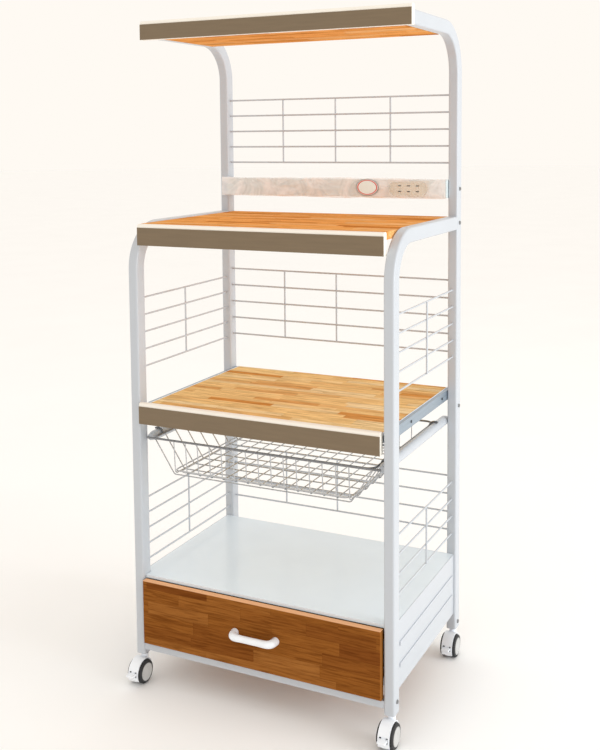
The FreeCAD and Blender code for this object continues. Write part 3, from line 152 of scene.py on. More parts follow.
def add_node(tree, kind, inputs=None, **settings):
    """A shader node with its settings, and its inputs set or linked."""
    node = tree.nodes.new(kind)
    for key, setting in settings.items():
        setattr(node, key, setting)
    for key, source in (inputs or {}).items():
        if isinstance(source, bpy.types.NodeSocket):
            tree.links.new(source, node.inputs[key])
        else:
            node.inputs[key].default_value = source
    return node


def new_material(name):
    """An empty material with its surface shader linked to the output."""
    material = bpy.data.materials.new(name)
    material.use_nodes = True
    tree = material.node_tree
    tree.nodes.clear()
    shader = add_node(tree, "ShaderNodeBsdfPrincipled")
    add_node(tree, "ShaderNodeOutputMaterial", {"Surface": shader.outputs["BSDF"]})
    return material, tree, shader


def colour_ramp(tree, factor, stops):
    """A ramp over factor; each stop is (position, linear colour)."""
    ramp = add_node(tree, "ShaderNodeValToRGB", {"Fac": factor})
    elements = ramp.color_ramp.elements
    while len(elements) < len(stops):
        elements.new(0.5)
    for element, (position, tint) in zip(elements, stops):
        element.position = position
        element.color = (*tint[:3], 1)
    return ramp.outputs["Color"]


def object_point(tree):
    return add_node(tree, "ShaderNodeTexCoord").outputs["Object"]


def shade(tint, share):
    """A colour made darker or lighter by a share."""
    return tuple(min(1.0, c * share) for c in tint[:3])


def powder_coat(name, tint, smooth, rough_smooth):
    # Epoxy powder coat on steel: baked, so it has a fine orange peel of about 2 mm and a soft gloss.
    material, tree, shader = new_material(name)
    point = object_point(tree)
    peel = add_node(tree, "ShaderNodeTexNoise", {"Vector": point, "Scale": 480.0, "Detail": 2.0})
    cloud = add_node(tree, "ShaderNodeTexNoise", {"Vector": point, "Scale": 9.0, "Detail": 3.0})
    base = colour_ramp(tree, cloud.outputs["Fac"], [(0.3, shade(tint, 0.965)), (0.75, tint)])
    rough = add_node(tree, "ShaderNodeMapRange",
                     {"Value": cloud.outputs["Fac"], "To Min": smooth, "To Max": rough_smooth})
    bump = add_node(tree, "ShaderNodeBump", {"Height": peel.outputs["Fac"], "Strength": 0.12,
                                             "Distance": 0.0004})
    tree.links.new(base, shader.inputs["Base Color"])
    tree.links.new(rough.outputs["Result"], shader.inputs["Roughness"])
    tree.links.new(bump.outputs["Normal"], shader.inputs["Normal"])
    shader.inputs["Coat Weight"].default_value = 0.25
    shader.inputs["Coat Roughness"].default_value = 0.2
    return material


def butcher_block(name, tones, strip, stave, across, gloss, edges=None):
    """Printed block-board: staves in rows that are staggered, each with its own tone and grain.

    Staves run along X; rows follow each other along the axis given by across. Where edges are given,
    faces that look up take the first of the two colours, a painted highlight, and faces that look
    sideways the second.
    """
    material, tree, shader = new_material(name)
    point = object_point(tree)
    split = add_node(tree, "ShaderNodeSeparateXYZ", {"Vector": point})
    along = split.outputs["X"]
    rows = add_node(tree, "ShaderNodeMath", {0: split.outputs[across], 1: strip}, operation="DIVIDE")
    row = add_node(tree, "ShaderNodeMath", {0: rows.outputs[0]}, operation="FLOOR")
    shift = add_node(tree, "ShaderNodeTexWhiteNoise", {"W": row.outputs[0]}, noise_dimensions="1D")
    run = add_node(tree, "ShaderNodeMath", {0: along, 1: stave}, operation="DIVIDE")
    moved = add_node(tree, "ShaderNodeMath", {0: shift.outputs["Value"], 1: 7.3, 2: run.outputs[0]},
                     operation="MULTIPLY_ADD")
    stave_number = add_node(tree, "ShaderNodeMath", {0: moved.outputs[0]}, operation="FLOOR")
    cell = add_node(tree, "ShaderNodeCombineXYZ", {"X": stave_number.outputs[0], "Y": row.outputs[0]})
    pick = add_node(tree, "ShaderNodeTexWhiteNoise", {"Vector": cell.outputs[0]}, noise_dimensions="2D")
    tone = colour_ramp(tree, pick.outputs["Value"], [(0.0, tones[2]), (0.32, tones[1]), (0.62, tones[1]),
                                                     (1.0, tones[0])])
    # Grain: streaks about 3 mm wide and 60 mm long, moved on each stave so that none runs across a joint.
    jump = add_node(tree, "ShaderNodeVectorMath", {0: pick.outputs["Color"], 1: (5.0, 5.0, 5.0)},
                    operation="MULTIPLY")
    own = add_node(tree, "ShaderNodeVectorMath", {0: point, 1: jump.outputs[0]}, operation="ADD")
    stretch = (14.0, 260.0, 260.0)
    fine = add_node(tree, "ShaderNodeVectorMath", {0: own.outputs[0], 1: stretch}, operation="MULTIPLY")
    streak = add_node(tree, "ShaderNodeTexNoise", {"Vector": fine.outputs[0], "Scale": 1.0, "Detail": 4.0,
                                                   "Roughness": 0.6, "Distortion": 0.6})
    broad = add_node(tree, "ShaderNodeVectorMath", {0: own.outputs[0], 1: (9.0, 90.0, 90.0)},
                     operation="MULTIPLY")
    cathedral = add_node(tree, "ShaderNodeTexNoise", {"Vector": broad.outputs[0], "Scale": 1.0, "Detail": 2.0,
                                                      "Distortion": 1.4})
    streaks = colour_ramp(tree, streak.outputs["Fac"], [(0.36, (0.5, 0.41, 0.32)), (0.56, (1.0, 1.0, 1.0))])
    bands = colour_ramp(tree, cathedral.outputs["Fac"], [(0.3, (0.78, 0.73, 0.68)), (0.6, (1.0, 1.0, 1.0))])
    grain = add_node(tree, "ShaderNodeMix", {0: 0.7, 6: tone, 7: streaks}, data_type="RGBA",
                     blend_type="MULTIPLY")
    mixed = add_node(tree, "ShaderNodeMix", {0: 0.75, 6: grain.outputs[2], 7: bands}, data_type="RGBA",
                     blend_type="MULTIPLY")
    # Glue lines: a hair-thin darker joint between rows and stave ends.
    row_part = add_node(tree, "ShaderNodeMath", {0: rows.outputs[0]}, operation="FRACT")
    end_part = add_node(tree, "ShaderNodeMath", {0: moved.outputs[0]}, operation="FRACT")
    row_line = add_node(tree, "ShaderNodeMath", {0: row_part.outputs[0], 1: 0.035}, operation="LESS_THAN")
    end_line = add_node(tree, "ShaderNodeMath", {0: end_part.outputs[0], 1: 0.006}, operation="LESS_THAN")
    line = add_node(tree, "ShaderNodeMath", {0: row_line.outputs[0], 1: end_line.outputs[0]},
                    operation="MAXIMUM")
    line_share = add_node(tree, "ShaderNodeMath", {0: line.outputs[0], 1: 0.28}, operation="MULTIPLY")
    glued = add_node(tree, "ShaderNodeMix", {0: line_share.outputs[0], 6: mixed.outputs[2],
                                             7: (*shade(tones[2], 0.55), 1)}, data_type="RGBA")
    result = glued.outputs[2]
    if edges is not None:
        normal = add_node(tree, "ShaderNodeNewGeometry")
        facing = add_node(tree, "ShaderNodeSeparateXYZ", {"Vector": normal.outputs["Normal"]})
        sideways = add_node(tree, "ShaderNodeMath", {0: facing.outputs["X"]}, operation="ABSOLUTE")
        # Faces that look up get the first colour as a painted highlight; faces that look sideways get the
        # second.
        for look, tint in ((sideways.outputs[0], edges[1]), (facing.outputs["Z"], edges[0])):
            share = add_node(tree, "ShaderNodeMapRange", {"Value": look, "From Min": 0.55, "From Max": 0.85})
            result = add_node(tree, "ShaderNodeMix", {0: share.outputs[0], 6: result, 7: (*tint[:3], 1)},
                              data_type="RGBA").outputs[2]
    tree.links.new(result, shader.inputs["Base Color"])
    bump = add_node(tree, "ShaderNodeBump", {"Height": streak.outputs["Fac"], "Strength": 0.05,
                                             "Distance": 0.0003})
    tree.links.new(bump.outputs["Normal"], shader.inputs["Normal"])
    shader.inputs["Roughness"].default_value = gloss
    shader.inputs["Specular IOR Level"].default_value = 0.0
    return material


def foil(name, tint, rough, mottle):
    # PVC foil wrapped on fibreboard: even colour with a faint printed cloud and a dull satin face.
    material, tree, shader = new_material(name)
    point = object_point(tree)
    stretched = add_node(tree, "ShaderNodeVectorMath", {0: point, 1: (14.0, 60.0, 160.0)},
                         operation="MULTIPLY")
    cloud = add_node(tree, "ShaderNodeTexNoise",
                     {"Vector": stretched.outputs[0], "Scale": 1.0, "Detail": 3.0})
    base = colour_ramp(tree, cloud.outputs["Fac"], [(0.3, shade(tint, 1 - mottle)),
                                                    (0.7, shade(tint, 1 + mottle))])
    grit = add_node(tree, "ShaderNodeTexNoise", {"Vector": point, "Scale": 900.0, "Detail": 1.0})
    bump = add_node(tree, "ShaderNodeBump", {"Height": grit.outputs["Fac"], "Strength": 0.08,
                                             "Distance": 0.0003})
    tree.links.new(base, shader.inputs["Base Color"])
    tree.links.new(bump.outputs["Normal"], shader.inputs["Normal"])
    shader.inputs["Roughness"].default_value = rough
    return material


def bright_chrome(name, tint, metal):
    # Nickel-chrome plating on drawn wire: a mirror, with a faint ripple from the wire under it.
    material, tree, shader = new_material(name)
    point = object_point(tree)
    ripple = add_node(tree, "ShaderNodeTexNoise", {"Vector": point, "Scale": 220.0, "Detail": 1.0})
    base = colour_ramp(tree, ripple.outputs["Fac"], [(0.3, shade(tint, 0.72)), (0.7, tint)])
    rough = add_node(tree, "ShaderNodeMapRange", {"Value": ripple.outputs["Fac"], "To Min": 0.12,
                                                  "To Max": 0.24})
    tree.links.new(base, shader.inputs["Base Color"])
    tree.links.new(rough.outputs["Result"], shader.inputs["Roughness"])
    shader.inputs["Metallic"].default_value = metal
    return material


def zinc_plate(colours):
    # Bright zinc on rolled strip: bluish, with faint lines along the rolling direction.
    material, tree, shader = new_material("zinc_plated_strip")
    point = object_point(tree)
    rolled = add_node(tree, "ShaderNodeVectorMath", {0: point, 1: (300.0, 6.0, 700.0)}, operation="MULTIPLY")
    lines = add_node(tree, "ShaderNodeTexNoise", {"Vector": rolled.outputs[0], "Scale": 1.0, "Detail": 2.0})
    base = colour_ramp(tree, lines.outputs["Fac"], [(0.3, shade(colours.zinc, 0.86)), (0.7, colours.zinc)])
    rough = add_node(tree, "ShaderNodeMapRange",
                     {"Value": lines.outputs["Fac"], "To Min": 0.3, "To Max": 0.48})
    tree.links.new(base, shader.inputs["Base Color"])
    tree.links.new(rough.outputs["Result"], shader.inputs["Roughness"])
    shader.inputs["Metallic"].default_value = 0.75
    return material


def moulded_plastic(name, tint, rough, grit_size, coat=0.0):
    # Injection-moulded plastic: even colour, with the fine spark-eroded grain of its mould.
    material, tree, shader = new_material(name)
    point = object_point(tree)
    grit = add_node(tree, "ShaderNodeTexNoise", {"Vector": point, "Scale": 1.0 / grit_size, "Detail": 2.0})
    wide = add_node(tree, "ShaderNodeTexNoise", {"Vector": point, "Scale": 40.0, "Detail": 1.0})
    base = colour_ramp(tree, wide.outputs["Fac"], [(0.3, shade(tint, 0.95)), (0.7, tint)])
    bump = add_node(tree, "ShaderNodeBump", {"Height": grit.outputs["Fac"], "Strength": 0.1,
                                             "Distance": 0.0003})
    tree.links.new(base, shader.inputs["Base Color"])
    tree.links.new(bump.outputs["Normal"], shader.inputs["Normal"])
    shader.inputs["Roughness"].default_value = rough
    shader.inputs["Coat Weight"].default_value = coat
    return material


def tread_rubber(colours):
    # Thermoplastic rubber tread: near black, dull, dusty on its rolling face.
    material, tree, shader = new_material("tread_rubber")
    point = object_point(tree)
    dust = add_node(tree, "ShaderNodeTexNoise", {"Vector": point, "Scale": 130.0, "Detail": 4.0})
    base = colour_ramp(tree, dust.outputs["Fac"], [(0.4, colours.tyre), (0.8, shade(colours.tyre, 2.2))])
    bump = add_node(tree, "ShaderNodeBump", {"Height": dust.outputs["Fac"], "Strength": 0.15,
                                             "Distance": 0.0004})
    tree.links.new(base, shader.inputs["Base Color"])
    tree.links.new(bump.outputs["Normal"], shader.inputs["Normal"])
    shader.inputs["Roughness"].default_value = 0.62
    return material


def clear_film():
    # Thin polyethylene film: milky where it is creased, see-through where it lies flat over the outlets.
    material, tree, shader = new_material("polyethylene_film")
    point = object_point(tree)
    crease = add_node(tree, "ShaderNodeTexNoise", {"Vector": point, "Scale": 17.0, "Detail": 2.5,
                                                   "Distortion": 1.6})
    veil = add_node(tree, "ShaderNodeMapRange", {"Value": crease.outputs["Fac"], "From Min": 0.35,
                                                 "From Max": 0.65, "To Min": 0.4, "To Max": 0.85})
    bump = add_node(tree, "ShaderNodeBump", {"Height": crease.outputs["Fac"], "Strength": 0.4,
                                             "Distance": 0.002})
    low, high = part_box("power_strip_outlet_plate")
    off = add_node(tree, "ShaderNodeVectorMath", {0: point, 1: tuple((low + high) / 2)}, operation="SUBTRACT")
    span = add_node(tree, "ShaderNodeSeparateXYZ", {"Vector": off.outputs[0]})
    far = add_node(tree, "ShaderNodeMath", {0: span.outputs["X"]}, operation="ABSOLUTE")
    round_end = (high.z - low.z) / 2
    past = add_node(tree, "ShaderNodeMath", {0: far.outputs[0], 1: (high.x - low.x) / 2 - round_end},
                    operation="SUBTRACT")
    beyond = add_node(tree, "ShaderNodeMath", {0: past.outputs[0], 1: 0.0}, operation="MAXIMUM")
    reach = add_node(tree, "ShaderNodeCombineXYZ", {"X": beyond.outputs[0], "Y": span.outputs["Z"]})
    distance = add_node(tree, "ShaderNodeVectorMath", {0: reach.outputs[0]}, operation="LENGTH")
    away = add_node(tree, "ShaderNodeMapRange", {"Value": distance.outputs["Value"],
                                                 "From Min": round_end - 0.005,
                                                 "From Max": round_end - 0.001,
                                                 "To Min": 0.15, "To Max": 1.0})
    cover = add_node(tree, "ShaderNodeMath", {0: veil.outputs["Result"], 1: away.outputs["Result"]},
                     operation="MULTIPLY")
    tree.links.new(cover.outputs[0], shader.inputs["Alpha"])
    tree.links.new(bump.outputs["Normal"], shader.inputs["Normal"])
    shader.inputs["Base Color"].default_value = (*rgb("#FFFFFF"), 1)
    shader.inputs["Roughness"].default_value = 0.16
    shader.inputs["Coat Weight"].default_value = 0.3
    return material


def screw_steel(name, dark, light):
    # Screws: small, so only a soft sheen with a fine scratch shows.
    material, tree, shader = new_material(name)
    point = object_point(tree)
    scratch = add_node(tree, "ShaderNodeTexNoise", {"Vector": point, "Scale": 1500.0, "Detail": 2.0})
    base = colour_ramp(tree, scratch.outputs["Fac"], [(0.3, rgb(dark)), (0.7, rgb(light))])
    tree.links.new(base, shader.inputs["Base Color"])
    shader.inputs["Metallic"].default_value = 1.0
    shader.inputs["Roughness"].default_value = 0.35
    return material


def sticker_paper(colours, centre, wide, high):
    # Coated paper sticker: white with a printed ring; the middle is left bare.
    material, tree, shader = new_material("coated_sticker_paper")
    point = object_point(tree)
    off = add_node(tree, "ShaderNodeVectorMath", {0: point, 1: tuple(centre)}, operation="SUBTRACT")
    unit = add_node(tree, "ShaderNodeVectorMath", {0: off.outputs[0], 1: (2 / wide, 0.0, 2 / high)},
                    operation="MULTIPLY")
    reach = add_node(tree, "ShaderNodeVectorMath", {0: unit.outputs[0]}, operation="LENGTH")
    fibre = add_node(tree, "ShaderNodeTexNoise", {"Vector": point, "Scale": 700.0, "Detail": 2.0})
    # Past the printed ring the paper fades to grey at its very rim: painted shade along the sticker's edge.
    ring = colour_ramp(tree, reach.outputs["Value"], [(0.0, rgb("#F2FFFF")), (0.78, rgb("#F2FFFF")),
                                                      (0.8, colours.ring), (0.87, colours.ring),
                                                      (0.89, rgb("#FFFFFF")), (0.97, rgb("#8C8C8C"))])
    rough = add_node(tree, "ShaderNodeMapRange",
                     {"Value": fibre.outputs["Fac"], "To Min": 0.3, "To Max": 0.45})
    tree.links.new(ring, shader.inputs["Base Color"])
    tree.links.new(rough.outputs["Result"], shader.inputs["Roughness"])
    return material


def studio_floor(colours):
    # Painted studio floor: one pale white, with a trace of unevenness in its dull paint.
    material, tree, shader = new_material("pale_studio_floor")
    cloud = add_node(tree, "ShaderNodeTexNoise", {"Vector": object_point(tree), "Scale": 2.0, "Detail": 2.0})
    base = colour_ramp(tree, cloud.outputs["Fac"], [(0.3, shade(colours.floor, 0.985)), (0.7, colours.floor)])
    tree.links.new(base, shader.inputs["Base Color"])
    shader.inputs["Roughness"].default_value = 0.9
    return material


# ---------------------------------------------------------------- modelling helpers

def only(*items):
    """Select these objects and nothing else; the first is the active one."""
    for item in bpy.context.view_layer.objects:
        item.select_set(False)
    for item in items:
        item.select_set(True)
    bpy.context.view_layer.objects.active = items[0]


def apply_place(item):
    """Move the object's place into its mesh."""
    only(item)
    bpy.ops.object.transform_apply(location=True, rotation=True, scale=True)


def use_modifier(item, kind, name, **settings):
    """Add a modifier and apply it."""
    only(item)
    modifier = item.modifiers.new(name, kind)
    for key, setting in settings.items():
        setattr(modifier, key, setting)
    bpy.ops.object.modifier_apply(modifier=name)


def soften(item, degrees=40):
    only(item)
    bpy.ops.object.shade_smooth_by_angle(angle=math.radians(degrees))


def finish_piece(item, name, body, material, replaces=()):
    """Name a piece, give it its finish and hang it on its body."""
    item.name = name
    item.data.name = name
    item.data.materials.clear()
    item.data.materials.append(bpy.data.materials[material])
    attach(item, body)
    if replaces:
        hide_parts(*replaces)
    return item


def join(items):
    only(*items)
    bpy.ops.object.join()
    return items[0]


def rounded_path(corners, bend, closed=False, steps=5):
    """Points along straight runs whose corners are rounded to the bend radius."""
    count = len(corners)
    points = []
    for number, corner in enumerate(corners):
        if not closed and number in (0, count - 1):
            points.append(corner)
            continue
        before = (corners[number - 1] - corner).normalized()
        after = (corners[(number + 1) % count] - corner).normalized()
        half = before.angle(after) / 2
        back = bend / math.tan(half)
        start = corner + before * back
        end = corner + after * back
        centre = corner + (before + after).normalized() * (bend / math.sin(half))
        first = (start - centre).normalized()
        last = (end - centre).normalized()
        for step in range(steps + 1):
            points.append(centre + first.slerp(last, step / steps) * bend)
    return points


def wire(points, diameter, closed=False, sides=8):
    """A round wire along points, as a mesh."""
    curve = bpy.data.curves.new("wire", "CURVE")
    curve.dimensions = "3D"
    curve.bevel_depth = diameter / 2
    curve.bevel_resolution = max(1, sides // 4 - 1)
    curve.use_fill_caps = True
    spline = curve.splines.new("POLY")
    spline.points.add(len(points) - 1)
    for spot, point in zip(spline.points, points):
        spot.co = (*point, 1)
    spline.use_cyclic_u = closed
    item = bpy.data.objects.new("wire", curve)
    bpy.context.scene.collection.objects.link(item)
    only(item)
    bpy.ops.object.convert(target="MESH")
    return bpy.context.view_layer.objects.active


# ---------------------------------------------------------------- operators

FINISHES = {
    "white_powder_coat": ["rear_upper_post_L", "rear_upper_post_R", "rear_lower_post_L", "rear_lower_post_R",
                          "front_post_L", "front_post_R", "upper_back_grille", "middle_back_grille",
                          "lower_back_grille", "middle_side_grilles", "lower_side_grilles", "basket_rails",
                          "cabinet_back_panel", "cabinet_front_rail", "cabinet_side_panels",
                          "drawer_walls"],
    "white_sheet_painted_light": ["cabinet_top_panel", "shelf_tray"],
    "honey_block_laminate": ["top_board", "middle_board"],
    "block_laminate_painted_lit": ["shelf_board"],
    "brown_block_foil": ["drawer_front"],
    "taupe_foil": ["top_fascia_face", "middle_fascia_face", "shelf_fascia_face"],
    "cream_foil": ["top_fascia_core", "middle_fascia_core", "shelf_fascia_core"],
    "hardboard": ["drawer_bottom_board"],
    "rod_chrome_painted_reflection": ["basket_rim"],
    "zinc_plated_strip": ["shelf_slide_rails", "drawer_runners"],
    "plated_screw_steel": ["post_joint_sleeves", "frame_fasteners"],
    "black_collar_plastic": ["caster_pins"],
    "white_moulded_plastic": ["shelf_rollers", "drawer_rollers", "caster_sockets"],
    "strip_case_plastic": ["power_strip_case"],
    "outlet_plastic": ["power_strip_outlet_plate"],
}


class CART_OT_finishes(bpy.types.Operator):
    """Make every finish and put it on the pieces that come from the construction"""
    bl_idname = "cart.finishes"
    bl_label = "Finishes"

    def execute(self, context):
        colours = context.scene.cart_colours
        sizes = context.scene.cart_sizes
        powder_coat("white_powder_coat", colours.powder, 0.27, 0.38)
        # A lighter, bluer copy of the white powder coat: painted light on the cabinet top and the tray.
        powder_coat("white_sheet_painted_light", colours.top_sheet_lit, 0.12, 0.2)
        boards = (colours.board_light, colours.board_mid, colours.board_dark)
        butcher_block("honey_block_laminate", boards, sizes.board_strip, sizes.board_stave, "Y", 0.3)
        # The fixed boards' laminate again, painted lighter for the light that falls on the pull-out board
        # from the front.
        shelf_tones_lit = (colours.pull_light, colours.pull_mid, colours.pull_dark)
        butcher_block("block_laminate_painted_lit", shelf_tones_lit, sizes.board_strip, sizes.board_stave, "Y", 0.3)
        blocks = (colours.drawer_light, colours.drawer_mid, colours.drawer_dark)
        butcher_block("brown_block_foil", blocks, sizes.drawer_strip, sizes.drawer_stave, "Z", 0.38,
                      edges=(colours.drawer_top_highlight, colours.drawer_side))
        foil("taupe_foil", colours.strip_face, 0.5, 0.05)
        foil("cream_foil", colours.strip_edge, 0.42, 0.02)
        foil("hardboard", rgb("#A4754A"), 0.7, 0.12)
        bright_chrome("chrome_plated_wire", colours.chrome, 0.7)
        # The mesh's chrome again, made darker on the rim as a painted dark reflection.
        bright_chrome("rod_chrome_painted_reflection", colours.rod_chrome_painted_dark, 0.9)
        zinc_plate(colours)
        moulded_plastic("white_moulded_plastic", colours.plastic, 0.32, 0.0012, coat=0.2)
        moulded_plastic("strip_case_plastic", colours.strip_case, 0.45, 0.0015)
        moulded_plastic("outlet_plastic", colours.outlet, 0.45, 0.0015)
        moulded_plastic("grey_hub_plastic", colours.hub, 0.4, 0.0012)
        moulded_plastic("black_collar_plastic", colours.tyre, 0.5, 0.0012)
        tread_rubber(colours)
        clear_film()
        screw_steel("plated_screw_steel", "#6E7073", "#A5A7AA")
        screw_steel("blackened_screw_steel", "#2C3034", "#4A4F54")
        for material, nodes in FINISHES.items():
            for node in nodes:
                self.dress(node, material)
        for name in CASTERS:
            self.dress("caster_hood_" + name, "white_moulded_plastic")
            self.dress("caster_lever_" + name, "white_moulded_plastic")
            self.dress("caster_tyres_" + name, "tread_rubber")
            self.dress("caster_hubs_" + name, "grey_hub_plastic")
        return {"FINISHED"}

    def dress(self, node, material):
        item = frame["nodes"][node]
        item.data.materials.clear()
        item.data.materials.append(bpy.data.materials[material])


class CART_OT_basket(bpy.types.Operator):
    """Bend the basket's wires: across, front to back, and round its walls"""
    bl_idname = "cart.basket"
    bl_label = "Basket wires"

    def execute(self, context):
        sizes = context.scene.cart_sizes
        size = sizes.mesh_wire
        low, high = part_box("basket_floor_wires")
        wall_low, wall_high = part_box("basket_wall_wires")
        rim_z = wall_high.z - size * 0.1
        floor_half = high.x - size * 0.5
        rim_half = wall_high.x - size * 0.5
        front, rear = wall_low.y + size * 0.5, wall_high.y - size * 0.5
        floor_front, floor_rear = low.y + size * 0.5, high.y - size * 0.5
        cross_z = low.z + size * 0.5
        long_z = cross_z + size * 0.85
        pieces = []
        for number in range(sizes.side_wires):
            y = floor_front + (floor_rear - floor_front) * number / (sizes.side_wires - 1)
            corners = [Vector((-rim_half, y, rim_z)), Vector((-floor_half, y, cross_z)),
                       Vector((floor_half, y, cross_z)), Vector((rim_half, y, rim_z))]
            pieces.append(wire(rounded_path(corners, sizes.wire_bend), size))
        for number in range(sizes.front_wires):
            x = (floor_half - size) * (2 * number / (sizes.front_wires - 1) - 1)
            corners = [Vector((x, front, rim_z)), Vector((x, floor_front, long_z)),
                       Vector((x, floor_rear, long_z)), Vector((x, rear, rim_z))]
            pieces.append(wire(rounded_path(corners, sizes.wire_bend), size))
        for inset, lift in ((0.0, 3.0), (3.2, 0.0)):
            half = floor_half - inset * size
            y0, y1 = floor_front + inset * size, floor_rear - inset * size
            z = long_z + (lift + 0.85) * size * 0.6
            corners = [Vector((-half, y0, z)), Vector((half, y0, z)), Vector((half, y1, z)),
                       Vector((-half, y1, z))]
            pieces.append(wire(rounded_path(corners, sizes.wire_bend * 1.5, closed=True), size * 1.15,
                               closed=True))
        basket = join(pieces)
        soften(basket, 60)
        finish_piece(basket, "basket_bent_wires", "basket", "chrome_plated_wire",
                     ("basket_wall_wires", "basket_floor_wires"))
        return {"FINISHED"}


class CART_OT_handle(bpy.types.Operator):
    """Model the moulded bow handle of the drawer"""
    bl_idname = "cart.handle"
    bl_label = "Drawer handle"

    def execute(self, context):
        bar = context.scene.cart_sizes.handle_bar
        low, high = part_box("drawer_handle")
        middle = (low + high) / 2
        foot = bar * 0.5
        half = (high.x - low.x) / 2
        deep = high.y - low.y
        stations = [(-half + foot, 0.0), (-half + foot, -deep * 0.42), (-half + foot * 1.7, -deep * 0.72),
                    (-half * 0.45, -deep + foot * 1.02), (0.0, -deep + foot),
                    (half * 0.45, -deep + foot * 1.02), (half - foot * 1.7, -deep * 0.72),
                    (half - foot, -deep * 0.42), (half - foot, 0.0)]
        curve = bpy.data.curves.new("bow", "CURVE")
        curve.dimensions = "3D"
        curve.bevel_depth = bar / 2
        curve.bevel_resolution = 5
        curve.resolution_u = 10
        curve.use_fill_caps = True
        spline = curve.splines.new("NURBS")
        spline.points.add(len(stations) - 1)
        for number, (spot, (x, y)) in enumerate(zip(spline.points, stations)):
            spot.co = (middle.x + x, high.y + y, middle.z, 1)
            spot.radius = 1.0 if number in (0, 1, 7, 8) else 0.84 if number in (3, 4, 5) else 0.95
        spline.order_u = 4
        spline.use_endpoint_u = True
        item = bpy.data.objects.new("bow", curve)
        bpy.context.scene.collection.objects.link(item)
        only(item)
        bpy.ops.object.convert(target="MESH")
        handle = bpy.context.view_layer.objects.active
        soften(handle, 50)
        finish_piece(handle, "drawer_bow_handle", "drawer", "white_moulded_plastic",
                     ("drawer_handle",))
        return {"FINISHED"}


class CART_OT_screws(bpy.types.Operator):
    """Drive the dark pan-head screws that hold the slide rails"""
    bl_idname = "cart.screws"
    bl_label = "Slide rail screws"

    def execute(self, context):
        low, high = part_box("shelf_slide_rails")
        head = context.scene.cart_sizes.screw_head
        thick = head * 0.22
        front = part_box("front_post_R")[0].y
        middle = (low.z + high.z) / 2
        screws = []
        for x in (low.x - thick / 2, high.x + thick / 2):
            for back in SCREW_BACK:
                bpy.ops.object.select_all(action="DESELECT")
                bpy.ops.mesh.primitive_cylinder_add(vertices=24, radius=head / 2, depth=thick,
                                                    location=(x, front + back * MM, middle),
                                                    rotation=(0, math.pi / 2, 0))
                screw = bpy.context.active_object
                apply_place(screw)
                screws.append(screw)
        item = join(screws)
        use_modifier(item, "BEVEL", "domed", width=thick * 0.45, segments=3)
        soften(item, 40)
        finish_piece(item, "slide_rail_screws", "frame", "blackened_screw_steel")
        return {"FINISHED"}


class CART_OT_hubs(bpy.types.Operator):
    """Turn the ringed hub faces of the caster wheels"""
    bl_idname = "cart.hubs"
    bl_label = "Wheel hubs"

    def execute(self, context):
        for name in CASTERS:
            low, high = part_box("caster_hubs_" + name)
            middle = (low + high) / 2
            radius = (high.z - low.z) / 2
            wide = (high.x - low.x - context.scene.cart_sizes.wheel_gap) / 2
            left = self.turn(Vector((low.x + wide / 2, middle.y, middle.z)), radius, wide, -1)
            right = self.turn(Vector((high.x - wide / 2, middle.y, middle.z)), radius, wide, 1)
            hubs = join([left, right])
            soften(hubs, 30)
            finish_piece(hubs, "ringed_hubs_" + name, "wheels_" + name, "grey_hub_plastic",
                         ("caster_hubs_" + name,))
        return {"FINISHED"}

    def turn(self, place, radius, wide, hand):
        """A hub disc whose outer face has a rim, a groove and a shallow dish."""
        bpy.ops.object.select_all(action="DESELECT")
        bpy.ops.mesh.primitive_cylinder_add(vertices=64, radius=radius, depth=wide, location=place,
                                            rotation=(0, hand * math.pi / 2, 0))
        hub = bpy.context.active_object
        apply_place(hub)
        for face in hub.data.polygons:
            face.select = face.normal.x * hand > 0.9
        bpy.ops.object.mode_set(mode="EDIT")
        bpy.ops.mesh.select_mode(type="FACE")
        for thickness, depth in ((1.0, 0.0), (0.5, -0.7), (0.7, 0.0), (0.5, 0.6), (4.2, 0.0), (0.4, -0.5),
                                 (0.5, 0.0), (0.4, 0.5), (3.6, -0.5), (0.4, -0.5), (0.5, 0.0), (0.4, 0.5),
                                 (2.4, 0.0)):
            bpy.ops.mesh.inset(thickness=thickness * MM, depth=depth * MM)
        bpy.ops.object.mode_set(mode="OBJECT")
        return hub


